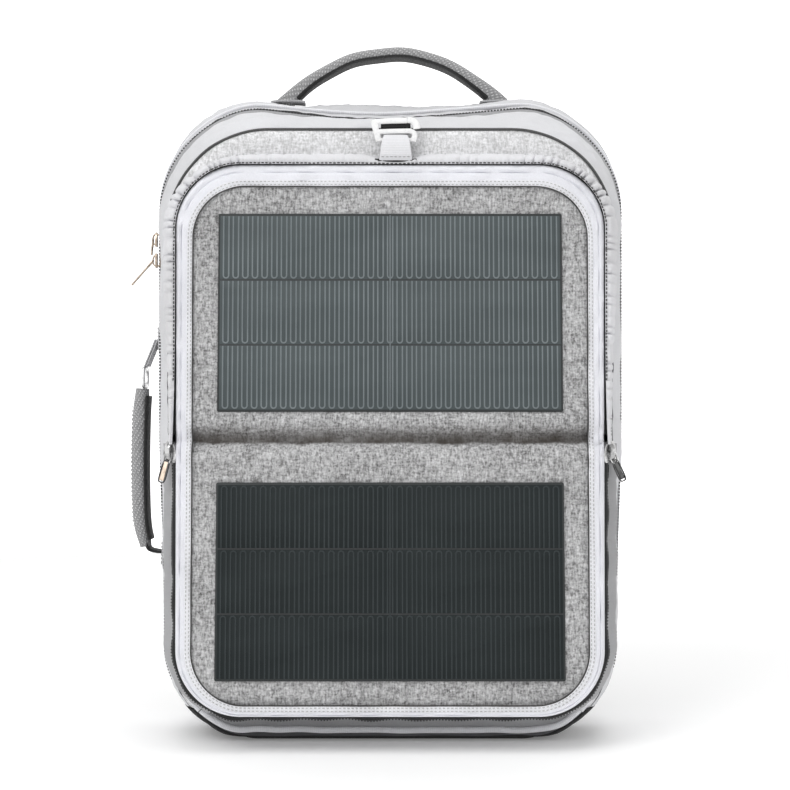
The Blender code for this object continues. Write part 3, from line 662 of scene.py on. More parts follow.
def metal(name, colour, dull, rough=0.28, scratch=0.12):
    """Cast or stamped metal with fine scratches and duller patches."""
    look = Look(name, rough=rough, metal=1.0)
    place = look.place()
    lines = look.noise(place, (2600.0, 900.0, 240.0), 3.0, 0.3, 0.7)
    patches = look.noise(place, 260.0, 4.0, 0.45, 0.7)
    look.raise_by(lines, scratch, 0.0001)
    rough_value = look.sum("MULTIPLY_ADD", patches, 0.22, look.sum("MULTIPLY_ADD", lines, 0.1, rough - 0.05))
    return look.done(look.mix(patches, colour, dull), rough_value)


def moulded(name, dark, light, rough=0.45, grain=0.35, size=700.0):
    """Moulded plastic or rubber with a fine grain and scuffs."""
    look = Look(name, rough=rough)
    place = look.place()
    fine = look.noise(place, size, 2.0, 0.3, 0.7)
    scuffs = look.noise(place, (120.0, 240.0, 60.0), 5.0, 0.52, 0.75)
    look.raise_by(fine, grain, 0.0002)
    colour = look.mix(look.sum("MULTIPLY_ADD", scuffs, 0.7, look.sum("MULTIPLY", fine, 0.3)), dark, light)
    return look.done(
        colour, look.sum("MULTIPLY_ADD", scuffs, 0.2, look.sum("MULTIPLY_ADD", fine, 0.1, rough - 0.05))
    )


def film(name, dark, light, rough=0.50, coat=0.08, specular=0.32):
    """The laminate's plastic skin: satin, with fine texture and a slow wave in the surface."""
    look = Look(name, rough=rough, coat=coat, specular=specular)
    look.shader.inputs["Coat Roughness"].default_value = 0.42
    place = look.place()
    fine = look.noise(place, 1500.0, 2.0, 0.3, 0.7)
    slow = look.noise(place, (12.0, 12.0, 34.0), 3.0, 0.3, 0.7)
    look.raise_by(slow, 0.35, 0.0012)
    look.raise_by(fine, 0.25, 0.00015)
    share = look.sum("MULTIPLY_ADD", slow, 0.75, look.sum("MULTIPLY", fine, 0.25))
    return look.done(look.mix(share, dark, light), look.sum("MULTIPLY_ADD", fine, 0.12, rough))


# The brown tint of the painted shade in the fold under the flap.
CREASE_SHADE_TINT = shade(0.21, 0.022)
face_cloth = melange(
    "face_cloth", shade(0.26, 0.004), shade(0.86, 0.0, 0.004), shadow=(0.2186, 0.2345, CREASE_SHADE_TINT)
)
# The mid panel's cloth: the face's melange again, made lighter: painted light.
lit_melange = melange("lit_melange", shade(0.66), shade(0.97, 0.0, 0.008))
shell_cloth = fabric("shell_cloth", shade(0.76, 0.0, 0.006), shade(0.84, -0.002, 0.010), creases=0.0045)
gusset_cloth = fabric("gusset_cloth", shade(0.79, 0.0, 0.008), shade(0.86, -0.002, 0.010), creases=0.0035)
side_cloth = fabric("side_cloth", shade(0.57, 0.0, 0.006), shade(0.67, 0.0, 0.008), creases=0.0024)
gathered_cloth = fabric("gathered_cloth", shade(0.80, 0.002, 0.008), shade(0.88, 0.0, 0.014), creases=0.0026)
white_tape = ribbed("white_tape", shade(0.87, 0.0, 0.012), shade(0.94, -0.002, 0.015), 0.0014, 0.0002, 0.85)
band_cloth = fabric("band_cloth", shade(0.86, -0.002, 0.018), shade(0.94, -0.002, 0.022), creases=0.0028)
handle_web = tweed("handle_web", shade(0.22), shade(0.58, 0.0, 0.004), shade(0.92, 0.0, 0.004))
shell_tab = ribbed("shell_tab", shade(0.62, 0.0, 0.006), shade(0.72, 0.0, 0.008), 0.0016, 0.0003, 0.85)
tab_web = ribbed("tab_web", shade(0.84, 0.0, 0.010), shade(0.92, 0.0, 0.014), 0.0012, 0.0002, 0.85)
pale_web = ribbed("pale_web", shade(0.70, 0.0, 0.006), shade(0.84, 0.0, 0.010), 0.0017, 0.0005)
black_web = ribbed("black_web", shade(0.10), shade(0.19, 0.0, 0.004), 0.0018, 0.0006, wear=shade(0.26))
black_binding = ribbed("black_binding", shade(0.09), shade(0.17), 0.0011, 0.0003)
grey_binding = ribbed("grey_binding", shade(0.26), shade(0.36), 0.0011, 0.0003)
shell_zip_tape = ribbed(
    "shell_zip_tape", shade(0.66, 0.0, 0.006), shade(0.74, 0.0, 0.008), 0.0011, 0.0003, 0.8
)
zip_tape = ribbed("zip_tape", shade(0.12), shade(0.22, 0.0, 0.004), 0.0011, 0.0003, 0.8)
lining = fabric("lining", shade(0.28, 0.0, 0.006), shade(0.36, 0.0, 0.010), 0.0012, 0.002, rough=0.7)
strap_cloth = fabric("strap_cloth", shade(0.13), shade(0.22, 0.0, 0.004), 0.0013, 0.002)
base_cloth = fabric("base_cloth", shade(0.09), shade(0.15, 0.0, 0.003), 0.0014, 0.0016)
back_mesh = spacer_mesh("back_mesh", shade(0.15), shade(0.27, 0.0, 0.006))
pad_mesh = spacer_mesh("pad_mesh", shade(0.13), shade(0.25, 0.0, 0.005), 0.0034)
steel = metal("steel", shade(0.70), shade(0.46), 0.24)
white_metal = metal("white_metal", shade(0.90), shade(0.76), 0.34)
brass = metal("brass", shade(0.62, 0.055), shade(0.45, 0.05), 0.30)
enamel = moulded("enamel", shade(0.93), shade(0.99), 0.3, 0.12, 500.0)
gilt = metal("gilt", shade(0.80, 0.07), shade(0.66, 0.06), 0.32)
gunmetal = metal("gunmetal", shade(0.34), shade(0.24), 0.34)
plastic = moulded("plastic", shade(0.11), shade(0.20), 0.42)
rubber = moulded("rubber", shade(0.10), shade(0.17), 0.6, 0.5, 400.0)
board = moulded("board", shade(0.16), shade(0.24), 0.6, 0.4, 300.0)
teeth = moulded("teeth", shade(0.09), shade(0.20), 0.36, 0.2)
thread = fabric("thread", shade(0.70), shade(0.80), 0.0004)
pale_thread = fabric("pale_thread", shade(0.66), shade(0.74), 0.0004)
dark_thread = fabric("dark_thread", shade(0.24), shade(0.34), 0.0004)
seam_line = fabric("seam_line", shade(0.20), shade(0.32, 0.004), 0.0005)
# Two copies of the same film and wiring: the darker ones on the lower laminate are painted shade, the
# lighter ones on the upper laminate painted light.
shaded_laminate_film = film(
    "shaded_laminate_film", shade(0.143, -0.020, -0.017), shade(0.175, -0.022, -0.019), coat=0.02, specular=0.14
)
lit_laminate_film = film("lit_laminate_film", shade(0.265, -0.030, -0.024), shade(0.305, -0.032, -0.026))
border_film = film("border_film", shade(0.16, -0.014, -0.012), shade(0.19, -0.014, -0.012), 0.50, 0.08)
gap_film = moulded("gap_film", shade(0.13, -0.006), shade(0.17, -0.006), 0.5, 0.2)
shaded_laminate_wires = film("shaded_laminate_wires", shade(0.200, -0.020, -0.014), shade(0.240, -0.020, -0.014), 0.42, 0.02, 0.14)
lit_laminate_wires = film("lit_laminate_wires", shade(0.40, -0.030, -0.020), shade(0.47, -0.030, -0.020), 0.42, 0.08)


# ---------------------------------------------------------------------------------------------
# The pocket's face: one cloth that bends at the crease, its edging, and the two laminates.

FOLD_DEPTH = 0.0052
FOLD_FROM, FOLD_TO = 0.1905, 0.2375
CLOTH_THICK = 0.0030


def make_face_cloth():
    near = CREASE_Z + np.arange(-0.020, 0.024, 0.0007)
    under = CLOTH.inset(-0.0022)
    rows_z = np.concatenate([np.arange(under.ends[0] + 0.0001, near[0] - 0.001, 0.0026), near])
    rows_z = np.concatenate(
        [rows_z, np.arange(near[-1] + 0.002, under.ends[1], 0.0026), [under.ends[1] - 0.0001]]
    )
    across = np.linspace(-1, 1, 101)
    front, back = [], []
    for z in rows_z:
        x = across * under.half_at(z)
        spot = np.stack([x, np.zeros_like(x), np.full_like(x, z)], -1)
        u = z - CREASE_Z
        tuck = math.exp(-((u / 0.020) ** 2))
        upright = ripple(spot * (1, 1, 0.25), 0.034, 11)
        bulge = (
            0.0006 * ripple(spot, 0.075, 3) + 0.0018 * tuck * upright * (1 - math.exp(-((u / 0.004) ** 2)))
        )
        lean = 0.0016 * ripple(spot * (1, 0, 0), 0.06, 5) * math.exp(-((u / 0.010) ** 2))
        ends = 0.0016 * (np.abs(across) ** 6) * math.exp(-((u / 0.009) ** 2))
        roll = 0.0026 * max((0.054 - z) / 0.020, 0) ** 2 + 0.0012 * np.abs(across) ** 16
        y = face_y(z) + crease_dip(z, FOLD_DEPTH) - bulge + ends + roll
        front.append(np.stack([x, y, z + lean], -1))
        if not FOLD_FROM < z < FOLD_TO:
            y = np.maximum(y, face_y(z) - 0.0010)
            front[-1] = np.stack([x, y, z + lean], -1)
        back.append(
            np.stack([x, np.minimum(y + CLOTH_THICK, face_y(z) + FOLD_DEPTH + CLOTH_THICK), z + lean], -1)
        )
    grid = [np.concatenate([a, b[::-1]]) for a, b in zip(front, back)]
    cloth = skin("face_cloth", grid, face_cloth, inner=lining, inner_from=len(across))
    return settle_fold(cloth, "melange_cloth", "lower_face_panel", "upper_face_panel")


def face_ring(name, stops, look, wobble=0.0, size=0.02, seed=1, dense=3):
    """A closed band round the face.

    Each stop is (share of the way from the cloth to the rim, metres more, height, share of the fold).
    """
    inner, outer = CLOTH.closed(dense), FACE.closed(dense)
    rows = []
    for (xi, zi), (xo, zo) in zip(inner, outer):
        gap = math.hypot(xo - xi, zo - zi)
        row = []
        for share, more, height, fold in stops:
            s = share + more / gap
            x, z = xi + (xo - xi) * s, zi + (zo - zi) * s
            row.append((x, face_at(z) - height + float(crease_dip(z, fold * FOLD_DEPTH)), z))
        rows.append(row)
    rows = np.array(rows)
    if wobble:
        heights = np.array([stop[2] for stop in stops])
        weight = np.clip(heights / heights.max(), 0, 1)
        rows[..., 1] -= wobble * weight * ripple(rows, size, seed)
        near = np.exp(-(((rows[..., 2] - CREASE_Z) / 0.022) ** 2)) * weight
        rows[..., 1] -= 2.2 * wobble * near * ripple(rows * (1, 1, 2.5), size * 0.9, seed + 9)
    return skin(name, rows, look, wrap_rows=True)


def make_edging():
    tape = face_ring(
        "edging_tape",
        (
            (0, -0.0002, -0.0012, 0.9), (0, -0.0002, 0.0006, 0.9), (0, 0.0004, 0.0011, 0.9),
            (0, 0.0042, 0.0012, 0.8), (0, 0.0048, 0.0007, 0.8), (0, 0.0048, -0.0012, 0.8),
        ),
        white_tape, wobble=0.0003, size=0.03, seed=21,
    )
    settle_fold(tape, "white_tape", "lower_edging", "upper_edging")
    band = face_ring(
        "edging_band",
        (
            (0, 0.0044, -0.0012, 0.7), (0, 0.0044, 0.0006, 0.7), (0.28, 0.0034, 0.0012, 0.65),
            (0.42, 0.0027, 0.0010, 0.6), (0.48, 0.0024, 0.0001, 0.6), (0.54, 0.0022, 0.0011, 0.6),
            (0.66, 0.0016, 0.0016, 0.6), (0.80, 0.0008, 0.0010, 0.5), (0.93, 0.0002, -0.0002, 0.4),
            (1, 0, -0.0024, 0.3), (1, 0, -0.0038, 0.3), (0.9, 0, -0.0040, 0.3),
        ),
        band_cloth, wobble=0.0013, size=0.018, seed=31,
    )
    settle_fold(band, "white_tape")
    inner, outer = CLOTH.closed(3), FACE.closed(3)
    for name, more, look, sewn in (
        ("edging_seam", -0.0001, seam_line, False),
        ("edging_stitch_inner", 0.0013, pale_thread, True),
        ("edging_stitch_outer", 0.0036, pale_thread, True),
    ):
        line = []
        for (xi, zi), (xo, zo) in zip(inner, outer):
            gap = math.hypot(xo - xi, zo - zi)
            x, z = xi + (xo - xi) * more / gap, zi + (zo - zi) * more / gap
            height = 0.00145 if sewn else 0.0007
            line.append((x, face_at(z) - height + float(crease_dip(z, 0.85 * FOLD_DEPTH)), z))
        if sewn:
            piece = stitches(name, line, (0, -1, 0), look, 0.0029, 0.0016, 0.0006, closed=True)
        else:
            piece = round_cord(name, line, 0.0006, look, 6, closed=True)
        settle_fold(piece, "white_tape")


def face_plate(name, half, low, high, radius, floor, top, look, soften=0.0004):
    """A flat plate on the face between two heights over it, its front edge eased."""
    outline = Outline(half, half, low, high, radius, radius)
    rings = []
    for inset, height in ((0, floor), (0, top - soften), (soften, top)):
        path = outline.inset(inset).closed()
        rings.append([(x, face_at(z) - height, z) for x, z in path])
    return skin(name, rings, look)


LAMINATE = 0.123
CELL_FLOOR, CELL_TOP, WIRE_TOP = 0.0018, 0.00206, 0.00222
BORDER, CELL_GAP, CELL_ROWS = 0.0012, 0.0009, 3


def make_wires(name, rows, look, way_up):
    """The cells' wiring: upright pairs joined by a round end at one end of each row."""
    pitch, loop, wide = 0.0069, 0.0019, 0.00105
    points, faces = [], []
    for low, high in rows:
        count = int((2 * LAMINATE - 0.004) / pitch)
        for k in range(count):
            x = (k - (count - 1) / 2) * pitch
            head = high - low - 0.0010 - loop
            turns = np.linspace(math.pi, 0, 9)
            line = [(x - loop, 0.0002)] + [(x - loop, z) for z in np.linspace(0.006, head - 0.003, 3)]
            line += [(x + loop * math.cos(t), head + loop * math.sin(t)) for t in turns]
            line += [(x + loop, z) for z in np.linspace(head - 0.003, 0.006, 3)] + [(x + loop, 0.0002)]
            line = np.array(line)
            line[:, 1] = low + line[:, 1] if way_up else high - line[:, 1]
            way = np.gradient(line, axis=0)
            way /= np.linalg.norm(way, axis=1)[:, None]
            side = np.stack([-way[:, 1], way[:, 0]], -1) * wide / 2
            start = len(points)
            for (xa, za), (xs, zs) in zip(line, side):
                for s, height in (
                    (-1, CELL_TOP - 0.0001), (-1, WIRE_TOP), (1, WIRE_TOP), (1, CELL_TOP - 0.0001)
                ):
                    px, pz = xa + s * xs, za + s * zs
                    points.append((px, face_at(pz) - height, pz))
            for i in range(len(line) - 1):
                a, b = start + 4 * i, start + 4 * i + 4
                faces += [(a + j, a + (j + 1) % 4, b + (j + 1) % 4, b + j) for j in range(4)]
            last = start + 4 * (len(line) - 1)
            faces += [(start, start + 1, start + 2, start + 3), (last, last + 1, last + 2, last + 3)]
    return turn_out(make_mesh(name, points, faces, look, smooth=False))


def make_laminate(word, body, low, high, skin_film, wires):
    """A bordered base, three rows of two cells with grooves between them, a middle seam, and the wiring."""
    base = face_plate(f"laminate_{word}", LAMINATE, low, high, 0.0012, 0.0001, 0.0019, border_film)
    settle(base, body, "solar_laminate", f"{word}_solar_panel")
    cells_low, cells_high = low + BORDER, high - BORDER
    tall = (cells_high - cells_low) / CELL_ROWS
    half = (LAMINATE - BORDER) / 2 - 0.0004
    rows = []
    for k in range(CELL_ROWS):
        start, end = cells_low + k * tall + CELL_GAP / 2, cells_low + (k + 1) * tall - CELL_GAP / 2
        rows.append((start, end))
        for side in (-1, 1):
            name = f"cells_{word}_{k}_{side + 1}"
            cell = face_plate(name, half, start, end, 0.0006, CELL_FLOOR, CELL_TOP, skin_film, 0.0001)
            cell.data.transform(Matrix.Translation((side * (half + 0.0006), 0, 0)))
            settle(cell, body, "solar_laminate")
        if k:
            name, wide = f"gap_{word}_{k}", LAMINATE - BORDER
            groove = face_plate(
                name, wide, start - CELL_GAP, start, 0.0003, CELL_FLOOR, 0.00200, gap_film, 0.00005
            )
            settle(groove, body, "solar_laminate")
    name, top = f"midline_{word}", CELL_TOP + 0.00005
    seam = face_plate(name, 0.0005, cells_low, cells_high, 0.0002, CELL_FLOOR, top, wires, 0.00005)
    settle(seam, body, "solar_laminate")
    settle(make_wires(f"wires_{word}", rows, wires, word == "lower"), body, "solar_laminate")


make_face_cloth()
make_edging()
# The lower laminate takes the darker copies (painted shade), the upper one the lighter copies (painted
# light).
make_laminate("lower", "front_shell", 0.0506, 0.1890, shaded_laminate_film, shaded_laminate_wires)
make_laminate("upper", "flap", 0.2390, 0.3810, lit_laminate_film, lit_laminate_wires)


# ---------------------------------------------------------------------------------------------
# Round the face: the gathered band, the pocket's zip and side.


PUCKER_PITCH = 0.0078
STITCHED_FROM = 0.262


def make_gathered_band():
    """Cloth gathered by elastic: puffed, with puckers that run in from its inner and outer edges."""
    outer = RUFFLE.arch(POCKET_ZIP_TOP, 7)
    count = len(outer)
    path = np.concatenate([[0], np.linalg.norm(np.diff(outer, axis=0), axis=1)]).cumsum()
    stops = np.linspace(0, 1, 15)
    spot = np.stack([path, np.zeros(count), np.zeros(count)], -1)
    swell = ripple(spot, 0.045, 43)
    height = (outer[:, 1] - POCKET_ZIP_TOP) / (RUFFLE.ends[1] - POCKET_ZIP_TOP)
    corner = np.exp(-(((np.abs(outer[:, 0]) - 0.140) / 0.030) ** 2)) * np.clip((height - 0.55) / 0.2, 0, 1)
    pinch = np.exp(-(((outer[:, 0] - HOOK_X) / 0.015) ** 2)) * (height > 0.9)
    lump = np.sin(math.pi * path / PUCKER_PITCH + 1.9 * ripple(spot, 0.030, 41))
    deep = (0.45 + 0.55 * corner + 0.25 * ripple(spot, 0.020, 42)) * (1 - pinch)
    groove = np.exp(-((lump / 0.46) ** 2)) * np.clip(deep, 0.08, 1) * np.clip(height / 0.14, 0.15, 1)
    agape = 0.0003 + 0.0020 * np.exp(-(outer[:, 1] - POCKET_ZIP_TOP) / 0.035)
    rim = FACE.arch(POCKET_ZIP_TOP, 7)
    rows = []
    for i in range(count):
        away = out_of(FACE, *rim[i])
        inside = rim[i] + away * agape[i]
        drawn = 0.62 * pinch[i] + 0.26 * corner[i]
        outside = outer[i] + (inside - outer[i]) * drawn - away * 0.0018 * groove[i]
        front = []
        for t in stops:
            x, z = inside + (outside - inside) * t
            y_front = face_at(z) + 0.0006
            puff = 0.0040 + 0.0012 * swell[i] + 0.0020 * corner[i]
            puff *= math.sin(math.pi * min(t * 1.02 + 0.10, 1)) * (1 - 0.6 * pinch[i])
            puff *= 1 - 0.95 * groove[i] * (1 - t) ** 0.5
            y = (
                y_front
                + (RUFFLE_BACK - y_front) * t**3.2
                - puff
                + 0.0042 * groove[i] * (1 - t) * math.sin(math.pi * t)
            )
            front.append((x, y, z))
        back = []
        for t in stops[::-3]:
            x, z = inside + (outside - inside) * t * 0.84
            y_front = face_at(z) + 0.0052
            back.append((x, y_front + (RUFFLE_BACK - y_front) * t**2.0, z))
        rows.append(front + back)
    band = skin("gathered_band", rows, gathered_cloth, inner=lining, inner_from=len(stops))
    settle(band, "front_shell", "pale_cloth", "pocket_ruffle")
    line = np.array([row[1] for row in rows]) + (0, -0.0006, 0)
    keep = line[line[:, 2] > STITCHED_FROM]
    sew(
        "front_shell", "pale_cloth", "gathered_band_stitch", keep, (0, -1, 0), dark_thread, 0.0030, 0.0019,
        0.0009,
    )


def tooth_line(name, line, outs, look, pitch=0.0021, size=(0.0013, 0.0030, 0.0010), sink=0.0):
    """A row of zip teeth along a line."""
    places, ways = evenly(line, pitch)
    made = [np.asarray(outs(place) if callable(outs) else outs, float) for place in places]
    places = np.array([place - out * sink for place, out in zip(places, made)])
    return blocks(name, places, ways, made, size, look, round_ends=True)


def make_pocket_side():
    """Below the sliders the zip is closed: a wavy dark line between the edging and the pocket's side."""
    face, foot = FACE.trough(POCKET_ZIP_TOP, 6), POCKET_FOOT.trough(POCKET_ZIP_TOP, 6)
    count = len(face)
    path = np.concatenate([[0], np.linalg.norm(np.diff(face, axis=0), axis=1)]).cumsum()
    spot = np.stack([path, np.zeros(count), np.zeros(count)], -1)
    wave = ripple(spot, 0.021, 51)
    ribs = ripple(spot, 0.0062, 52)
    sides, tapes, tooth_path = [], [], []
    for i in range(count):
        (xf, zf), (xo, zo) = face[i], foot[i]
        out = np.array([math.copysign(1, xf), 0.0]) if zf > 0.075 else out_of(FACE, xf, zf)
        y0 = face_at(zf)
        rim = y0 + 0.0040 + 0.0006 * wave[i]
        proud = 0.0021 + 0.0008 * wave[i]
        tape = []
        for more, back in (
            (-0.0010, 0.0), (proud, 0.0002), (proud + 0.0006, 0.0018), (proud + 0.0006, 0.0040),
            (proud, 0.0058), (-0.0010, 0.0060),
        ):
            tape.append((xf + out[0] * more, rim + back, zf + out[1] * more))
        tapes.append(tape)
        tooth_path.append((xf + out[0] * (proud + 0.0008), rim + 0.0030, zf + out[1] * (proud + 0.0008)))
        front = rim + 0.0056
        row = []
        for t in np.linspace(0, 1, 12):
            swell = (
                0.0082 * math.sin(math.pi * t**1.3) ** 0.8
                + (0.0004 * ribs[i] + 0.0006 * wave[i]) * (1 - t) ** 0.5
            )
            lift = 0.0034 * (1 - t) ** 2 + swell
            x, z = xf + (xo - xf) * t + out[0] * lift, zf + (zo - zf) * t + out[1] * lift
            row.append((x, front + (MID_FRONT - 0.0004 - front) * t, max(z, 0.0250)))
        for t in (1, 0.5, 0):
            x, z = xf + (xo - xf) * t - out[0] * 0.0030, zf + (zo - zf) * t - out[1] * 0.0030
            row.append((x, front + 0.0006 + (MID_FRONT - 0.0010 - front) * t, z))
        sides.append(row)
    side = skin("pocket_side", sides, side_cloth, inner=lining, inner_from=12)
    settle(side, "front_shell", "pale_cloth", "pocket_gusset")
    settle(skin("pocket_zip_tape", tapes, zip_tape), "front_shell", "grey_cloth", "pocket_zip")
    teeth_row = tooth_line(
        "pocket_zip_teeth", tooth_path, lambda p: out_3d(FACE, p), teeth, 0.0022, (0.0014, 0.0034, 0.0009)
    )
    settle(teeth_row, "front_shell", "black_plastic")


def out_of(outline, x, z):
    """The outward direction in the XZ plane at a point on an outline."""
    (cx_low, cz_low), (cx_high, cz_high) = outline.centre(0), outline.centre(1)
    cx = min(abs(x), cx_low if z < cz_low else cx_high)
    cz = min(max(z, cz_low), cz_high)
    away = np.array([abs(x) - cx, z - cz])
    size = np.linalg.norm(away)
    away = away / size if size > 1e-6 else np.array([0.0, math.copysign(1, z - 0.2)])
    return np.array([math.copysign(away[0], x), away[1]])


def out_3d(outline, place):
    x, z = out_of(outline, place[0], place[2])
    return np.array([x, 0.0, z])


def make_open_zip():
    """Above the sliders the zip stands open: one tape under the flap's rim, one in the gathered band."""
    for name, outline, body, depth, height in (
        ("flap_zip_tape", FACE.inset(0.0012), "flap", 0.0042, 0.0012),
        ("band_zip_tape", RUFFLE_INNER.inset(-0.0010), "front_shell", 0.0030, 0.0030),
    ):
        outer = outline.arch(CREASE_Z + 0.004, 3)
        rows, line = [], []
        for x, z in outer:
            out = out_of(outline, x, z)
            y = face_at(z) + depth
            ring = []
            for more, back in ((0.0006, 0), (0.0006, height), (-0.0060, height + 0.0010), (-0.0060, 0.0006)):
                ring.append((x + out[0] * more, y + back, z + out[1] * more))
            rows.append(ring)
            line.append((x + out[0] * 0.0008, y + height * 0.4, z + out[1] * 0.0008))
        settle(skin(name, rows, zip_tape), body, "grey_cloth")
        row = tooth_line(name + "_teeth", line, (0, -1, 0), teeth, 0.0022, (0.0014, 0.0018, 0.0012))
        settle(row, body, "black_plastic")


def make_slider(kind, word, slot, place, way, out, look, size):
    """A zip slider's body: two plates with a waist between them, and a bridge for the pull."""
    body = f"{kind}_slider_{word[0]}"
    place, way, out = (np.asarray(v, float) for v in (place, way, out))
    way, out = way / np.linalg.norm(way), out / np.linalg.norm(out)
    side = np.cross(way, out)
    waist = ((-1, 0.0030), (-0.85, 0.0037), (-0.2, 0.0040), (0.5, 0.0031), (0.9, 0.0022), (1, 0.0014))
    parts = []
    for level in (-1, 1):
        rows = []
        for t, wide in waist:
            ring = []
            for a, b in ((-1, -1), (-0.9, 1), (0.9, 1), (1, -1)):
                high = level * 0.0016 + b * 0.00065 * level
                ring.append(place + size * (way * t * 0.0052 + side * a * wide + out * high))
            rows.append(ring)
        parts.append(skin(f"{body}_plate_{level + 1}", rows, look))
    bridge = []
    for t in np.linspace(-1, 1, 13):
        high = 0.0020 + 0.0022 * math.sqrt(max(1 - t * t, 0))
        bridge.append(place + size * (way * t * 0.0040 + out * high))
    parts.append(strap(f"{body}_bridge", bridge, side, 0.0026 * size, 0.0011 * size, look, 12, 3.0))
    stem = [place + size * (way * 0.0036 + out * h) for h in (-0.0018, 0.0, 0.0018)]
    parts.append(strap(f"{body}_stem", stem, side, 0.0020 * size, 0.0016 * size, look, 10))
    settle(join(f"{body}_body", parts), body, slot, f"{kind}_slider_{word}")


def settle_pull(kind, word, parts):
    body = f"{kind}_pull_{word[0]}"
    settle(join(f"{body}_piece", parts), body, "aged_brass", f"{kind}_pull_{word}")


def ring_plate(name, place, along, across, half_long, half_wide, bar, thick, look, taper=1.0):
    """A flat loop of metal: a rounded rectangle with a rounded-rectangle hole, edges eased."""
    place, along, across = (np.asarray(v, float) for v in (place, along, across))
    along, across = along / np.linalg.norm(along), across / np.linalg.norm(across)
    normal = np.cross(along, across)
    turns = np.linspace(0, 2 * math.pi, 48, endpoint=False)
    c, s = np.cos(turns), np.sin(turns)
    size = (np.abs(c) ** 4 + np.abs(s) ** 4) ** -0.25
    rows = []
    for u, v in zip(c * size, s * size):
        wide = 1 - (1 - taper) * (u + 1) / 2
        outer = along * u * half_long + across * v * half_wide * wide
        hole = along * u * (half_long - bar) + across * v * (half_wide * wide - bar)
        ring = []
        for t, h in ((0, 0.5), (0.18, 1), (0.82, 1), (1, 0.5), (1, -0.5), (0.82, -1), (0.18, -1), (0, -0.5)):
            ring.append(place + outer + (hole - outer) * t + normal * h * thick / 2)
        rows.append(ring)
    return skin(name, rows, look, wrap_rows=True)


make_gathered_band()
make_pocket_side()
make_open_zip()


# ---------------------------------------------------------------------------------------------
# The front half of the bag.


def make_mid_panel():
    rings = []
    for inset, y in (
        (0.0020, -0.0310), (0.0018, -0.0338), (0.0042, -0.0362), (0.0080, -0.0376), (0.016, -0.0382)
    ):
        outline = body_at(MID_FRONT).inset(inset)
        ring = np.array([(x, y, max(z, SHELL_BOTTOM)) for x, z in outline.closed(2)])
        ring[:, 1] -= 0.0007 * ripple(ring, 0.045, 61) * (inset > 0.004)
        rings.append(top_sag(ring, 0.002))
    # The mid panel takes the lighter copy of the melange: painted light.
    settle(skin("mid_panel_cloth", rings, lit_melange), "front_shell", "melange_cloth", "mid_panel")
    line = level_path(body_at(MID_FRONT).inset(0.0016).arch(MID_PIPING_FOOT, 2), -0.0347)
    line[:, 0] += 0.0004 * ripple(line, 0.03, 62)
    cord = round_cord("mid_piping_cord", top_sag(line, 0.002), 0.0010, grey_binding, 10)
    settle(cord, "front_shell", "grey_cloth", "mid_piping")


def make_front_gusset():
    """The front half's side band, drawn in a little at both seams and softly creased."""
    start, end, steps = -0.0335, SPLIT_Y - 0.0030, 19
    depths = np.linspace(start, end, steps)
    wall_depths = depths[::-3]
    outlines = [body_at(y) for y in depths] + [body_at(y).inset(LINING_WALL) for y in wall_depths]
    rows = rows_across([outline.arch(SHELL_BOTTOM, 3) for outline in outlines], [*depths, *wall_depths])
    share = (rows[:, :steps, 1] - start) / (end - start)
    out = np.array([out_of(body_at(0.0), x, z) for x, z in rows[:, 0, (0, 2)]])
    mid = np.sin(math.pi * np.clip(share, 0, 1))
    long_wave = ripple(rows[:, :steps] * (0.55, 1, 0.55), 0.036, 71)
    short_wave = ripple(rows[:, :steps], 0.014, 72)
    wave = 0.0014 * mid * long_wave + 0.0014 * 0.35 * short_wave
    moved = np.maximum(wave, LINING_REACH) - 0.0016 * (1 - mid) ** 3
    rows[:, :steps, 0] += out[:, None, 0] * moved
    rows[:, :steps, 2] += out[:, None, 1] * moved
    gusset = skin("front_gusset_cloth", top_sag(rows), gusset_cloth, inner=lining, inner_from=steps - 1)
    settle(gusset, "front_shell", "pale_cloth", "front_gusset")


def make_foot_piping():
    """Light piping up both lower corners of the front half, in line with the base's."""
    for word, sign in (("left", -1), ("right", 1)):
        outline = body_at(-0.038).inset(0.0036)
        heights = np.linspace(SHELL_BOTTOM - 0.0005, 0.165, 60)
        line = np.array([(sign * outline.half_at(z), -0.0392, z) for z in heights])
        radius = np.interp(heights, (SHELL_BOTTOM, 0.12, 0.165), (0.0023, 0.0022, 0.0010))
        cord = round_cord(f"foot_piping_{word}", top_sag(line), radius, white_tape, 12)
        settle(cord, "front_shell", "pale_cloth")


def make_main_zip():
    """A toothed tape on each half of the bag, following the dip of the soft top."""
    for name, body, near, far, tooth_y in (
        ("front_zip", "front_shell", SPLIT_Y - 0.0052, SPLIT_Y - 0.0003, SPLIT_Y - 0.0010),
        ("rear_zip", "bag", SPLIT_Y + 0.0003, SPLIT_Y + 0.0052, SPLIT_Y + 0.0010),
    ):
        outline = body_at(SPLIT_Y)
        rows, line = [], []
        for x, z in outline.arch(SHELL_BOTTOM, 3):
            out = out_of(outline, x, z)
            ring = []
            for more, y in ((-0.0004, near), (0.0000, far), (-0.0030, far), (-0.0032, near)):
                ring.append((x + out[0] * more, y, z + out[1] * more))
            rows.append(ring)
            line.append((x + out[0] * 0.0006, tooth_y, z + out[1] * 0.0006))
        tape = skin(name + "_cloth", top_sag(np.array(rows)), shell_zip_tape)
        settle(tape, body, "grey_cloth", name + "_tape")
        line, size = top_sag(np.array(line)), (0.0017, 0.0024, 0.0016)
        row = tooth_line(name + "_teeth", line, lambda p: out_3d(outline, p), teeth, 0.0024, size)
        settle(row, body, "black_plastic")


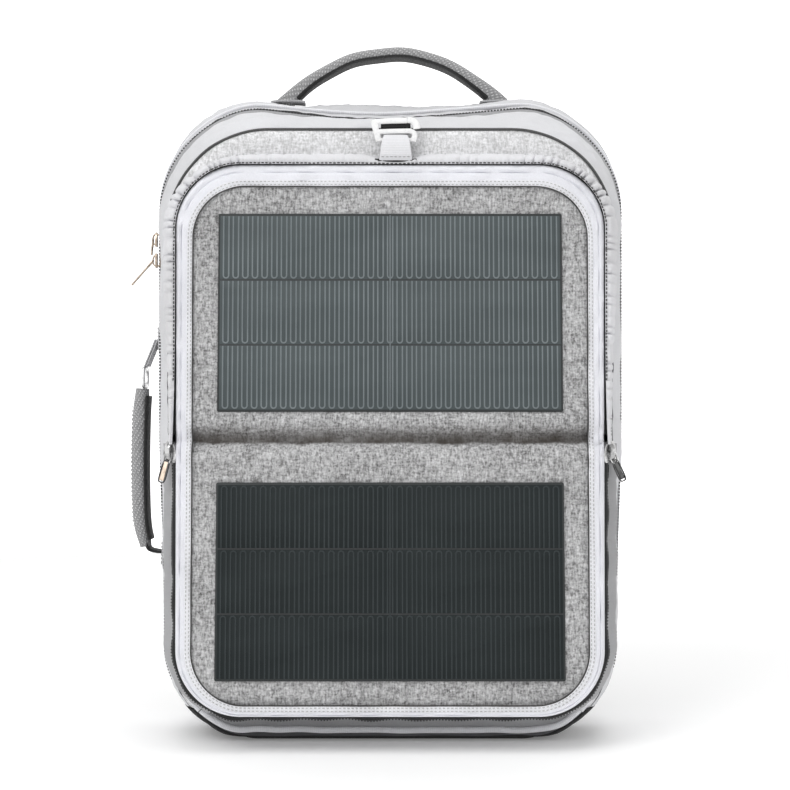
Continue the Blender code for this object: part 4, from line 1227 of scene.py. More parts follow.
HOOK_BARS = (
    (((-0.0152, 0.0128), (-0.0060, 0.0134), (0.0080, 0.0138)), (0.0038, 0.0040)),
    (((-0.0156, 0.0142), (-0.0148, 0.0090), (-0.0134, 0.0035), (-0.0122, -0.0012)), (0.0048, 0.0042)),
    (((-0.0130, 0.0056), (0.0, 0.0060), (0.0115, 0.0062)), (0.0036, 0.0036)),
    (((0.0086, 0.0142), (0.0122, 0.0136), (0.0146, 0.0112), (0.0152, 0.0078)), (0.0042, 0.0054)),
    (((0.0104, 0.0060), (0.0128, 0.0050), (0.0136, 0.0024), (0.0124, -0.0012)), (0.0036, 0.0042)),
    (((-0.0124, -0.0004), (0.0, -0.0002), (0.0126, -0.0004)), (0.0028, 0.0028)),
)
POCKET_SLIDER_Z = 0.2105


def hook_line(stops):
    """A smooth line in the hook's middle plane through (y, z) stops."""
    return smooth_curve([(HOOK_X, y, z) for y, z in stops], 8)


def make_hook():
    """A slotted plate on a webbing tab, open at its upper right, with a dark keeper behind its slots."""
    tab = hook_line((
        (-0.0478, 0.4200), (-0.0502, 0.4245), (-0.0498, 0.4315),
        (-0.0472, 0.4368), (-0.0440, 0.4381), (-0.0414, 0.4350),
    ))
    widths = (0.0238, 0.0226, 0.0208, 0.0180, 0.0166, 0.0166)
    web = strap("hook_tab_webbing", tab, (1, 0, 0), widths, 0.0016, tab_web, 22, 6)
    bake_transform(web)
    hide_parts("hook_tab")
    keeper = hook_line(((-0.0340, 0.4490), (-0.0390, 0.4476), (-0.0398, 0.4440), (-0.0392, 0.4402)))
    web = strap("hook_keeper_webbing", keeper, (1, 0, 0), 0.0215, 0.0014, black_web, 22, 6)
    settle(web, "front_shell", "black_webbing", "hook_keeper")
    # A black cord across the tab's foot: painted shadow under the tab's lower end, where it meets the open
    # zip.
    foot = []
    for x in np.linspace(-0.0150, 0.0150, 14):
        bow = (x / 0.014) ** 2
        foot.append((HOOK_X + x, -0.0478 + 0.0004 * bow, 0.4198 + 0.0006 * bow))
    settle(round_cord("hook_tab_foot_shadow", foot, 0.0010, black_binding, 8), "front_shell", "white_tape")
    for k, (y, z) in enumerate(((-0.0506, 0.4222), (-0.0500, 0.4300))):
        line = [(HOOK_X + x, y, z) for x in np.linspace(-0.0092, 0.0092, 12)]
        sew(
            "front_shell", "white_tape", f"hook_tab_stitch_{k}", line, (0, -1, 0), pale_thread, 0.0027,
            0.0017,
        )
    made = []
    for k, (stops, sizes) in enumerate(HOOK_BARS):
        line = smooth_curve([(HOOK_X + x, HOOK_Y, HOOK_Z + z) for x, z in stops], 6)
        made.append(strap(f"hook_bar_{k}", line, (0, 1, 0), 0.0028, sizes, enamel, 18, 3.2))
    settle(join("hook_metal", made), "hook", "steel_hardware", "g_hook")


def make_pocket_sliders():
    """One on each side at mid-height. Each pull hangs from the bridge and leans outwards."""
    for word, sign, lean, filling in (("left", -1, 0.26, gilt), ("right", 1, 0.42, gunmetal)):
        place = (sign * (FACE.half_at(POCKET_SLIDER_Z) + 0.0032), -0.0577, POCKET_SLIDER_Z)
        out = (sign * 0.45, -0.89, 0)
        make_slider("pocket", word, "steel_hardware", place, (0, 0, 1), out, steel, 1.5)
        hang = np.array([sign * lean, -0.05, -0.96])
        hang /= np.linalg.norm(hang)
        across = np.cross(hang, np.array([sign * 0.25, -0.95, 0.15]))
        eye = np.array(place) + np.array(out) * 0.0040 + np.array([0, 0, -0.0004])
        size = (0.0046, 0.0031, 0.0011, 0.0012)
        ring = ring_plate(f"pull_eye_{word}", eye + hang * 0.0038, hang, across, *size, steel)
        size = (0.0084, 0.0028, 0.0009, 0.0013)
        tag = ring_plate(f"pull_tag_{word}", eye + hang * 0.0140, hang, across, *size, gunmetal, 1.1)
        line = [eye + hang * t for t in np.linspace(0.0070, 0.0205, 6)]
        tongue = strap(f"pull_tongue_{word}", line, across, (0.0032, 0.0036), 0.0015, filling, 14, 4)
        settle_pull("pocket", word, [ring, tag, tongue])


def make_main_sliders():
    """Two brass sliders on the left side: one pull hangs, the other leans out."""
    size = (0.0038, 0.0028, 0.0010, 0.0011)
    for word, z, way, angle, long in (
        ("upper", 0.3685, (0, 0, 1), 0.10, 0.0125),
        ("lower", 0.3525, (0, 0, -1), 0.72, 0.0250),
    ):
        place = (-body_at(SPLIT_Y).half_at(z) - 0.0018, SPLIT_Y, z)
        make_slider("main", word, "aged_brass", place, way, (-1, 0, 0), brass, 1.05)
        hang = np.array([-math.sin(angle), 0.0, -math.cos(angle)])
        eye = np.array(place) + (-0.0042, 0, 0)
        ring = ring_plate(f"pull_eye_{word}", eye + hang * 0.0030, hang, (0, 1, 0), *size, brass)
        line = [eye + hang * t for t in np.linspace(0.0062, long - 0.0006, 8)]
        widths = (0.0030, 0.0036, 0.0042, 0.0040)
        tag = strap(f"pull_tag_{word}", line, (0, 1, 0), widths, 0.0014, brass, 14, 4)
        settle_pull("main", word, [ring, tag])


make_mid_panel()
make_front_gusset()
make_foot_piping()
make_main_zip()
make_hook()
make_pocket_sliders()
make_main_sliders()


# ---------------------------------------------------------------------------------------------
# The rear half of the bag and its base.


def make_rear_shell():
    """The side band behind the main zip, rounding into the back, with a lining wall inside."""
    depths = np.concatenate(
        [np.linspace(SPLIT_Y + 0.0050, 0.0560, 16), [0.0595, 0.0625, 0.0648, 0.0660]]
    )[::-1]
    rows = [[(x, y, z) for x, z in body_at(y).closed(3)] for y in depths]
    for y in (SPLIT_Y + 0.0056, 0.0340, 0.0500, 0.0630):
        rows.append([(x, y, z) for x, z in body_at(y).inset(LINING_WALL).closed(3)])
    rows = np.array(rows)
    outer = len(depths)
    ends = np.clip((rows[:outer, :, 1] - SPLIT_Y) / (0.062 - SPLIT_Y), 0, 1)
    mid = np.sin(math.pi * ends)
    out = np.array([out_of(body_at(0.04), x, z) for x, z in rows[4][:, (0, 2)]])
    low = np.clip((rows[:outer, :, 2] - 0.012) / 0.03, 0, 1)
    wave = (
        0.0020 * mid * ripple(rows[:outer] * (0.55, 1, 0.55), 0.040, 81)
        + 0.0004 * ripple(rows[:outer], 0.013, 82)
    )
    moved = (np.maximum(wave, LINING_REACH) - 0.0012 * (1 - mid) ** 3) * low
    rows[:outer, :, 0] += out[None, :, 0] * moved
    rows[:outer, :, 2] += out[None, :, 1] * moved
    shell = skin(
        "rear_shell_cloth", top_sag(rows), shell_cloth, inner=lining, inner_from=outer - 1, by_row=True
    )
    settle(shell, "bag", "grey_cloth", "rear_shell")
    for name, y, look in (("rear_piping_cord", 0.0640, pale_web), ("side_piping_cord", 0.0240, white_tape)):
        path = level_path(body_at(y).arch(0.030, 3), y)
        away = np.array([out_3d(body_at(y), p) for p in path])
        settle(round_cord(name, top_sag(path + away * 0.0006), 0.0015, look, 8), "bag", "pale_cloth")


def make_base():
    """The coated tray under the zip, the light piping round its front, the sole, and the board inside."""
    depths = (-0.0380, -0.0372, -0.0330, -0.0200, -0.0050, 0.0100, SPLIT_Y + 0.0043)
    insets = (0.0012, 0.0002, 0.0, 0.0, 0.0, 0.0, 0.0)
    wall_depths = depths[::-2]
    paths = [body_at(y).inset(i).trough(TRAY_TOP, 2) for y, i in zip(depths, insets)]
    paths += [body_at(y).inset(LINING_WALL).trough(TRAY_TOP, 2) for y in wall_depths]
    rows = rows_across(paths, [*depths, *wall_depths])
    rows[:, :7, 2] += 0.0004 * ripple(rows[:, :7], 0.03, 91)
    rows[:, :7, 2] -= 0.0020 * np.clip((0.011 - rows[:, :7, 2]) / 0.005, 0, 1)
    tray = skin("base_tray_cloth", top_sag(rows), base_cloth, inner=lining, inner_from=7)
    settle(tray, "bag", "black_webbing", "base_tray")
    lip = body_at(-0.038).inset(0.0038).trough(TRAY_TOP - 0.0002, 3)
    line = level_path(lip, -0.0392)
    line[:, 2] += 0.0005 * ripple(line, 0.04, 92)
    cord = round_cord("base_piping_cord", top_sag(line), 0.0023, white_tape, 12)
    settle(cord, "bag", "pale_cloth", "base_piping")
    paths = [body_at(-0.038).inset(i).trough(TRAY_TOP, 3) for i in (0.0050, 0.0050, 0.0110, 0.0165, 0.0165)]
    rows = rows_across(paths, (-0.0376, -0.0386, -0.0390, -0.0386, -0.0376))
    settle(skin("base_front_band", top_sag(rows), side_cloth), "bag", "pale_cloth")
    for k, (name, node, half, near, far, low, high, look) in enumerate((
        ("base_sole", "base_panel", 0.108, -0.031, 0.058, 0.0, 0.0037, rubber),
        ("base_stiffener", "base_board", 0.104, -0.032, 0.056, 0.0078, 0.0098, board),
    )):
        centre = (near + far) / 2
        plan = Outline(half, half, near - centre, far - centre, 0.012 - 0.002 * k, 0.012 - 0.002 * k)
        rings = []
        for inset, z in ((0.0012, low), (0, low + 0.0006), (0, high - 0.0006), (0.0006, high)):
            rings.append([(x, centre + y, z) for x, y in plan.inset(inset).closed()])
        settle(skin(name, rings, look), "bag", "black_plastic", node)


TOP_HANDLE_Y, SIDE_HANDLE_Y = 0.045, 0.0362
CROSSED_BOX = ((-1, -1), (1, -1), (1, 1), (-1, 1), (-1, -1), (1, 1))


def make_top_handle():
    """A padded webbing arch: its outside is coarse webbing, its inside dark, with stitched edges."""
    body, middle = "top_grab_handle", 0.0015
    u = np.linspace(-1.07, 1.07, 61)
    rise = 0.0345 * (1 - np.abs(u) ** 2.1)
    points = np.stack([middle + 0.0790 * u, np.full_like(u, TOP_HANDLE_Y), 0.4802 + rise], -1)
    points[:, 2] += 0.0005 * ripple(points, 0.05, 101)
    wide = 0.0096 + 0.0154 * np.tanh(np.maximum(rise, -0.004) * 45)
    rows = strap_rows(points, (0, 1, 0), wide, 0.0090 + 0.0030 * u**4, 26, 2.8)
    sewn, free = (middle, TOP_HANDLE_Y, 0.4780), (middle, TOP_HANDLE_Y, 0.4890)
    settle_bend(skin("top_handle_grip", rows, handle_web), body, sewn, free, "grey_cloth", "top_handle")
    along = np.gradient(points, axis=0)
    along /= np.linalg.norm(along, axis=1)[:, None]
    normal = np.cross(along, (0, 1, 0))
    normal *= np.where(normal[:, 2:] > 0, 1, -1)
    inner = points - normal * (0.0030 + 0.0012 * u**4)[:, None]
    under = strap_rows(inner[3:-3], (0, 1, 0), wide[3:-3] * 0.97, (0.0030 + 0.0024 * u**4)[3:-3], 18, 3.5)
    settle_bend(skin("top_handle_lining", under, black_binding), body, sewn, free, "black_webbing")
    for k, side in enumerate((-0.34, 0.34)):
        line = (points + normal * 0.0034 + np.stack([0 * u, wide * side, 0 * u], -1))[6:-6]
        row = stitches(f"top_handle_stitch_{k}", line, (0, 0, 1), pale_thread, 0.0032, 0.0020)
        settle_bend(row, body, sewn, free, "grey_cloth")
    bow = (0, 0.0004, 0.0006, 0.0007, 0.0008, 0.0007, 0.0006, 0.0004, 0)
    for word, sign in (("left", -1), ("right", 1)):
        x, z = middle + sign * 0.0765, 0.4758
        places = zip(np.linspace(-0.013, 0.013, 9), bow)
        line = [(x + sign * (0.004 - t), TOP_HANDLE_Y, z + 0.0009 + dz) for t, dz in places]
        tab = strap(
            f"handle_anchor_{word}_web", line, (0, 1, 0), (0.0185, 0.0190, 0.0185), 0.0020, shell_tab, 20, 6
        )
        settle(tab, "bag", "grey_cloth", f"handle_anchor_{word}")
        box = [
            (x + sign * (0.011 + a * 0.0035), TOP_HANDLE_Y + b * 0.0062, z + 0.0021) for a, b in CROSSED_BOX
        ]
        sew("bag", "grey_cloth", f"handle_anchor_{word}_stitch", box, (0, 0, 1), dark_thread, 0.0028, 0.0018)


def side_line(stops, pieces):
    """A smooth line in the side handle's own plane."""
    return smooth_curve([(x, SIDE_HANDLE_Y, z) for x, z in stops], pieces)


def make_side_handle():
    """A webbing grip that hangs from a metal ring, sewn to the side at both ends."""
    body = "side_carry_handle"
    grip = side_line(
        ((-0.1905, 0.2560), (-0.1918, 0.2350), (-0.1925, 0.1950), (-0.1915, 0.1550), (-0.1880, 0.1350)), 10
    )
    widths, thicks = (0.0190, 0.0228, 0.0230, 0.0225, 0.0180), (0.0095, 0.0118, 0.0120, 0.0115, 0.0080)
    web = strap("side_handle_web", grip, (0, 1, 0), widths, thicks, handle_web, 24, 2.8)
    settle(web, body, "grey_cloth", "side_handle_grip")
    inner = grip[3:-3] + (0.0052, 0, 0)
    web = strap("side_handle_lining", inner, (0, 1, 0), 0.0215, 0.0034, black_binding, 18, 3.4)
    settle(web, body, "black_webbing")
    for k, y in enumerate((0.0285, 0.0439)):
        line = grip[4:-4] + (-0.0056, y - SIDE_HANDLE_Y, 0)
        sew(body, "grey_cloth", f"side_handle_stitch_{k}", line, (-1, 0, 0), pale_thread, 0.0032, 0.0020)
    place, size = (-0.1885, SIDE_HANDLE_Y, 0.2645), (0.0130, 0.0085, 0.0034, 0.0028)
    loop = ring_plate("side_handle_loop", place, (0, 1, 0), (0, 0, 1), *size, white_metal)
    settle(loop, body, "steel_hardware", "side_handle_ring")
    for k, (offset, nodes) in enumerate(((0.0, ["side_handle_webbing"]), (-0.0017, []))):
        line = side_line(
            ((-0.1780 + offset, 0.2935), (-0.1815 + offset, 0.2845), (-0.1862 + offset, 0.2730)), 8
        )
        web = strap(f"side_handle_loop_web_{k}", line, (0, 1, 0), 0.0190, 0.0014, pale_web, 18, 6)
        sewn, free = (-0.1790, SIDE_HANDLE_Y, 0.2905), (-0.1862, SIDE_HANDLE_Y, 0.2735)
        settle_bend(web, body, sewn, free, "grey_cloth", *nodes)
    foot = side_line(((-0.1876, 0.1400), (-0.1850, 0.1332), (-0.1790, 0.1312), (-0.1748, 0.1308)), 6)
    web = strap("side_handle_foot_web", foot, (0, 1, 0), 0.0175, (0.0030, 0.0022), black_web, 18, 5)
    sewn, free = (-0.1765, SIDE_HANDLE_Y, 0.1300), (-0.1870, SIDE_HANDLE_Y, 0.1370)
    settle_bend(web, body, sewn, free, "grey_cloth")
    rise = (0, 0.0005, 0.0007, 0.0008, 0.0008, 0.0008, 0.0007, 0.0005, 0)
    for word, z in (("upper", 0.294), ("lower", 0.130)):
        x = top_sag(np.array([-body_at(SIDE_HANDLE_Y).half_at(z), SIDE_HANDLE_Y, z]))[0]
        line = [
            (x - 0.0014 - d, SIDE_HANDLE_Y, z + t) for t, d in zip(np.linspace(-0.0115, 0.0115, 9), rise)
        ]
        tab = strap(f"side_tab_{word}_web", line, (0, 1, 0), 0.0205, 0.0020, pale_web, 18, 6)
        settle(tab, "bag", "grey_cloth", f"side_handle_tab_{word}")
        box = [(x - 0.0034, SIDE_HANDLE_Y + a * 0.0075, z + b * 0.0080) for a, b in CROSSED_BOX]
        sew("bag", "grey_cloth", f"side_tab_{word}_stitch", box, (-1, 0, 0), dark_thread, 0.0028, 0.0018)


make_rear_shell()
make_base()
make_top_handle()
make_side_handle()


# ---------------------------------------------------------------------------------------------
# The back: mesh panel, padded back, yoke, shoulder straps, trolley band and lower anchors.

FILL_FRAMES = 20


def even_mesh(obj, voxel):
    """The piece's mesh, rebuilt in even small quads."""
    step = obj.modifiers.new("even", "REMESH")
    step.mode, step.voxel_size = "VOXEL", voxel
    bpy.context.view_layer.update()
    made = bpy.data.meshes.new_from_object(obj.evaluated_get(bpy.context.evaluated_depsgraph_get()))
    obj.modifiers.remove(step)
    looks = list(obj.data.materials)
    obj.data = made
    made.materials.clear()
    for look in looks:
        made.materials.append(look)


def read_points(mesh):
    flat = np.empty(len(mesh.vertices) * 3, np.float32)
    mesh.vertices.foreach_get("co", flat)
    return flat.reshape(-1, 3).astype(float)


def write_points(mesh, points):
    mesh.vertices.foreach_set("co", np.asarray(points, np.float32).reshape(-1))
    mesh.update()


def fill(obj, cap, voxel=0.0042, pressure=4.0):
    """Foam inside cloth: a short simulation under pressure, each point's travel capped, then subdivided."""
    even_mesh(obj, voxel)
    start = read_points(obj.data)
    cloth = obj.modifiers.new("fill", "CLOTH")
    cloth.settings.use_pressure = True
    cloth.settings.uniform_pressure_force = pressure
    cloth.settings.effector_weights.gravity = 0
    cloth.settings.quality = 5
    cloth.point_cache.frame_start, cloth.point_cache.frame_end = 1, FILL_FRAMES
    for frame_number in range(1, FILL_FRAMES + 1):
        bpy.context.scene.frame_set(frame_number)
    filled = obj.evaluated_get(bpy.context.evaluated_depsgraph_get())
    travel = read_points(filled.data) - start
    far = np.linalg.norm(travel, axis=1)[:, None]
    travel *= np.minimum(1, cap / np.maximum(far, 1e-9))
    obj.modifiers.remove(cloth)
    bpy.context.scene.frame_set(1)
    write_points(obj.data, start + travel)
    finer = obj.modifiers.new("finer", "SUBSURF")
    finer.levels = finer.render_levels = 1
    bpy.context.view_layer.update()
    made = bpy.data.meshes.new_from_object(obj.evaluated_get(bpy.context.evaluated_depsgraph_get()))
    obj.modifiers.remove(finer)
    obj.data = made
    made.shade_smooth()
    return obj


def mirrored(obj, name):
    """The same piece on the other side."""
    mesh = obj.data.copy()
    mesh.transform(Matrix.Scale(-1, 4, (1, 0, 0)))
    mesh.flip_normals()
    other = bpy.data.objects.new(name, mesh)
    bpy.context.scene.collection.objects.link(other)
    return other


def flat_piece(name, outline, y_near, y_far, look, soften=0.0006, dense=1, rough=0.0, seed=1):
    """A plate across the bag between two depths, its edges eased."""
    stops = ((soften, y_near), (0, y_near + soften), (0, y_far - soften), (soften, y_far))
    rings = [
        np.array(ring) for ring in rings_of(outline, (*stops, (min(outline.radius) * 0.8, y_far)), 0, dense)
    ]
    for ring in rings:
        ring[:, 1] += rough * ripple(ring, 0.05, seed)
    return skin(name, rings, look)


BACK = Outline(0.150, 0.150, 0.020, 0.455, 0.050, 0.070)


def make_back_panel():
    panel = flat_piece("back_panel_cloth", BACK, 0.0663, 0.0690, back_mesh, dense=2, rough=0.0003)
    settle(panel, "bag", "back_mesh", "back_panel")
    line = level_path(BACK.inset(0.0006).closed(3), 0.0682)
    cord = round_cord("back_panel_binding", line, 0.0018, black_binding, 10, closed=True)
    settle(cord, "bag", "grey_cloth")
    line = level_path(BACK.inset(0.0052).closed(3), 0.0691)
    sew("bag", "back_mesh", "back_panel_stitch", line, (0, 1, 0), dark_thread, 0.0032, 0.0020, closed=True)


PAD_X = 0.071
CHANNELS = np.linspace(0.118, 0.342, 4)
CHANNEL_DIP = 0.010


def make_back_pads():
    """Two foam pads under mesh, with sewn channels across them for air."""
    pad = Outline(0.053, 0.053, 0.062, 0.398, 0.020, 0.020)
    rings = rings_of(pad, ((0.0015, 0.0698), (0, 0.0705), (0.0004, 0.0740), (0.0035, 0.0757)), PAD_X)
    piece = fill(skin("back_pad_right_foam", rings, pad_mesh), 0.0036)
    points = read_points(piece.data)
    front = np.clip((points[:, 1] - 0.0725) / 0.003, 0, 1)
    for z in CHANNELS:
        bow = CHANNEL_DIP * np.cos((points[:, 0] - PAD_X) * 26)
        groove = np.exp(-(((points[:, 2] - z - bow) / 0.0062) ** 2))
        points[:, 1] -= 0.0052 * groove * front
    points[:, 1] += 0.0004 * ripple(points, 0.03, 111) * front
    points[:, 1] = np.clip(points[:, 1], 0.0695, 0.0812)
    write_points(piece.data, points)
    for word, obj in (("right", piece), ("left", mirrored(piece, "back_pad_left_foam"))):
        sign = 1 if word == "right" else -1
        settle(obj, "bag", "back_mesh", f"back_pad_{word}")
        for k, z in enumerate(CHANNELS):
            places = np.linspace(-0.044, 0.044, 30)
            line = [(sign * (PAD_X + x), 0.0734, z + CHANNEL_DIP * math.cos(x * 26)) for x in places]
            sew(
                "bag", "back_mesh", f"back_pad_{word}_seam_{k}", line, (0, 1, 0), dark_thread, 0.0034, 0.0022
            )
        edge = rings_of(pad, ((-0.0010, 0.0703),), sign * PAD_X)[0]
        cord = round_cord(f"back_pad_{word}_binding", edge, 0.0014, black_binding, 8, closed=True)
        settle(cord, "bag", "grey_cloth")


def make_yoke():
    outline = Outline(0.088, 0.088, 0.408, 0.452, 0.010, 0.010)
    piece = flat_piece("yoke_cloth", outline, 0.0699, 0.0746, strap_cloth, 0.0018, 2, 0.0003, 5)
    settle(piece, "bag", "grey_cloth", "strap_yoke")
    for k, inset in enumerate((0.0032, 0.0075)):
        line = level_path(outline.inset(inset).closed(1), 0.0748)
        sew("bag", "grey_cloth", f"yoke_stitch_{k}", line, (0, 1, 0), thread, 0.0032, 0.0020, closed=True)


def make_trolley_band():
    """A wide band across the pads that slips over a suitcase's handle."""
    bend = [
        (-0.149, 0.0707), (-0.141, 0.0709), (-0.134, 0.0800), (-0.124, 0.0842), (-0.100, 0.0848),
        (-0.040, 0.0846),
    ]
    bend += [(-x, y) for x, y in bend[::-1]]
    points = smooth_curve([(x, y, 0.210) for x, y in bend], 5)
    points[:, 1] += 0.0004 * ripple(points, 0.05, 121)
    band = strap("trolley_band_cloth", points, (0, 0, 1), 0.070, 0.0017, strap_cloth, 40, 8)
    settle(band, "bag", "black_webbing", "trolley_band")
    for k, z in enumerate((0.178, 0.242)):
        line = points + (0, 0.0009, z - 0.210)
        sew(
            "bag", "black_webbing", f"trolley_band_stitch_{k}", line[4:-4], (0, 1, 0), thread, 0.0034, 0.0021
        )


STRAP_TOP = 0.4330
STRAP_ROUTE = (
    (0.055, 0.0815, STRAP_TOP), (0.056, 0.0868, 0.4050), (0.060, 0.0952, 0.3400), (0.068, 0.0985, 0.2600),
    (0.076, 0.0968, 0.2000), (0.082, 0.0935, 0.1550),
)
STRAP_WIDTHS = (0.060, 0.062, 0.066, 0.068, 0.066, 0.062, 0.058, 0.056, 0.054, 0.050, 0.044)
BOUND_EDGES = 0.006
RUNNER_HEIGHT = 0.0078
TRIMMED = slice(3, -3)
ANCHOR_X = 0.130


def crown(obj, route, widths):
    """The strap's foam stands highest along its middle, with a groove just inside its edges."""
    points = read_points(obj.data)
    middle = np.array([np.interp(-points[:, 2], -route[:, 2], route[:, k]) for k in (0, 1)])
    half = np.interp(-points[:, 2], -route[:, 2], widths) / 2
    off = np.abs(points[:, 0] - middle[0]) / half
    rise = 0.0022 * np.clip(1 - (off / 0.72) ** 2, 0, 1) - 0.0011 * np.exp(-(((off - 0.80) / 0.07) ** 2))
    below_top = np.clip((STRAP_TOP - points[:, 2]) / 0.02, 0, 1)
    points[:, 1] += rise * np.sign(points[:, 1] - middle[1]) * below_top
    write_points(obj.data, points)


def aside(amounts):
    """Offsets along X, one for each point."""
    return np.stack([amounts, 0 * amounts, 0 * amounts], -1)


def make_strap_trim(word, flip, route, widths, outs):
    """Bound edges, stitching inside them, and a webbing runner down the middle with its tacks."""
    body, stem = f"strap_{word}", f"shoulder_strap_{word}"
    for k, side in enumerate((-1, 1)):
        edge = (route + aside(side * (widths / 2 + 0.0012))) * flip
        settle(round_cord(f"{stem}_binding_{k}", edge, 0.0021, black_binding, 8), body, "grey_cloth")
        line = (route[TRIMMED] + aside(side * (widths[TRIMMED] / 2 - 0.006)) + outs * 0.0048) * flip
        sew(body, "grey_cloth", f"{stem}_stitch_{k}", line, (0, 1, 0), thread, 0.0036, 0.0022)
    lift = np.vstack([outs[:1], outs[:1], outs, outs[-1:], outs[-1:], outs[-1:]])[: len(route) - 1]
    runner = (route[1:] + lift * RUNNER_HEIGHT) * flip
    web = strap(f"{stem}_runner", runner, (1, 0, 0), 0.0205, 0.0014, black_web, 18, 6)
    settle(web, body, "black_webbing")
    for k, z in enumerate((0.375, 0.315, 0.255, 0.200)):
        at = runner[np.argmin(np.abs(runner[:, 2] - z))]
        bar = [(at[0] + x, at[1] + 0.0009, at[2]) for x in np.linspace(-0.0088, 0.0088, 12)]
        sew(body, "black_webbing", f"{stem}_tack_{k}", bar, (0, 1, 0), thread, 0.0018, 0.0013, 0.0011)


def make_strap_end(word, sign):
    """The adjuster, the webbing that runs down from it, its loose tail, and the anchor's tab on the bag."""
    body, flip = f"strap_{word}", np.array([sign, 1, 1])
    centre = np.array([sign * 0.0835, 0.0925, 0.1400])
    size = (0.0160, 0.0120, 0.0036, 0.0040)
    buckle = ring_plate(f"strap_adjuster_{word}_frame", centre, (1, 0, 0), (0, -0.10, 1), *size, plastic)
    bar = [centre + (x, 0.0004, 0.0) for x in np.linspace(-0.0140, 0.0140, 8)]
    cross = strap(f"strap_adjuster_{word}_bar", bar, (0, 0, 1), 0.0040, 0.0034, plastic, 14, 4)
    unit = join(f"strap_adjuster_{word}_piece", [buckle, cross])
    settle(unit, body, "black_plastic", f"strap_adjuster_{word}")
    drop = smooth_curve(np.array([
        (0.0842, 0.0946, 0.1400), (0.0850, 0.0925, 0.1280), (0.0880, 0.0912, 0.1180),
        (0.1030, 0.0880, 0.0960), (0.1260, 0.0790, 0.0660),
    ]) * flip, 8)
    turn = np.linspace(0, 0.65, len(drop))
    across = np.stack([np.ones(len(drop)), 0 * turn, sign * turn], -1)
    web = strap(f"strap_webbing_{word}_web", drop, across, 0.0200, 0.0016, black_web, 18, 6)
    settle(web, body, "black_webbing", f"strap_webbing_{word}")
    tail = smooth_curve(np.array([
        (0.0838, 0.0962, 0.1400), (0.0850, 0.0966, 0.1250),
        (0.0862, 0.0990, 0.1050), (0.0858, 0.0975, 0.0860),
    ]) * flip, 8)
    web = strap(f"strap_tail_{word}_web", tail, (1, 0, 0), 0.0190, 0.0014, black_web, 18, 6)
    settle(web, body, "black_webbing")
    tab = Outline(0.0125, 0.0085, 0.024, 0.052, 0.002, 0.002)
    rings = rings_of(tab, ((0.0004, 0.0696), (0, 0.0701), (0, 0.0714), (0.0005, 0.0720)), sign * ANCHOR_X)
    settle(
        skin(f"strap_anchor_{word}_web", rings, black_web), "bag", "black_webbing", f"strap_anchor_{word}"
    )
    corners = (
        (-0.007, 0.028), (0.007, 0.028), (0.006, 0.047), (-0.006, 0.047), (-0.007, 0.028), (0.006, 0.047)
    )
    box = [(sign * ANCHOR_X + x, 0.0723, z) for x, z in corners]
    sew("bag", "black_webbing", f"strap_anchor_{word}_stitch", box, (0, 1, 0), thread, 0.0026, 0.0017)


def make_straps():
    """Curved padded straps with bound edges, a webbing runner, an adjuster and the webbing below it."""
    route = smooth_curve(STRAP_ROUTE, 10)
    slim = [width - BOUND_EDGES for width in STRAP_WIDTHS]
    widths = np.interp(np.linspace(0, 1, len(route)), np.linspace(0, 1, len(slim)), slim)
    core = strap("shoulder_strap_right_pad", route, (1, 0, 0), slim, 0.0085, strap_cloth, 28, 3.4)
    pad = fill(core, 0.0016, 0.0040)
    crown(pad, route, widths)
    outs = np.cross((1, 0, 0), np.gradient(route, axis=0)[TRIMMED])
    outs *= np.where(outs[:, 1:2] > 0, 1, -1)
    outs /= np.linalg.norm(outs, axis=1)[:, None]
    for word, sign in (("right", 1), ("left", -1)):
        obj = pad if sign > 0 else mirrored(pad, "shoulder_strap_left_pad")
        settle(obj, f"strap_{word}", "grey_cloth", f"shoulder_strap_{word}")
        make_strap_trim(word, np.array([sign, 1, 1]), route, widths, outs)
        make_strap_end(word, sign)


# ---------------------------------------------------------------------------------------------
# Inside: the stiff back sheet, the divider, and the charging kit in the pocket.


BOX_FLOOR = 0.0043
LEAD_DEPTH = 0.0082


def round_box(name, centre, size, radius, look, ease=0.0008):
    """A moulded housing: a round-cornered outline across the bag, eased at the front and back."""
    wide, deep, high = (length / 2 for length in size)
    outline = Outline(wide, wide, -high, high, radius, radius)
    stops = (
        (ease, -deep), (ease * 0.3, -deep + ease * 0.3), (0, -deep + ease), (0, deep - ease), (ease, deep)
    )
    return skin(name, np.array(rings_of(outline, stops)) + centre, look)


def make_boards():
    """The stiff back sheet, the laptop divider with its bound top, and the pocket's organiser."""
    sheet = flat_piece("frame_sheet_board", BACK, 0.0600, 0.0620, board)
    settle(sheet, "bag", "black_plastic", "frame_sheet")
    divider = Outline(0.140, 0.140, 0.0125, 0.330, 0.030, 0.015)
    cloth = flat_piece("laptop_divider_cloth", divider, 0.0380, 0.0410, lining, 0.0010, 2, 0.0004, 7)
    settle(cloth, "bag", "lining_cloth", "laptop_divider")
    top = level_path(divider.arch(0.318, 1), 0.0395)
    settle(round_cord("laptop_divider_binding", top, 0.0022, black_binding, 8), "bag", "grey_cloth")
    organiser = Outline(0.120, 0.120, 0.045, 0.190, 0.010, 0.010)
    cloth = flat_piece("organiser_cloth", organiser, -0.0410, -0.0390, lining)
    settle(cloth, "front_shell", "lining_cloth", "organiser_panel")


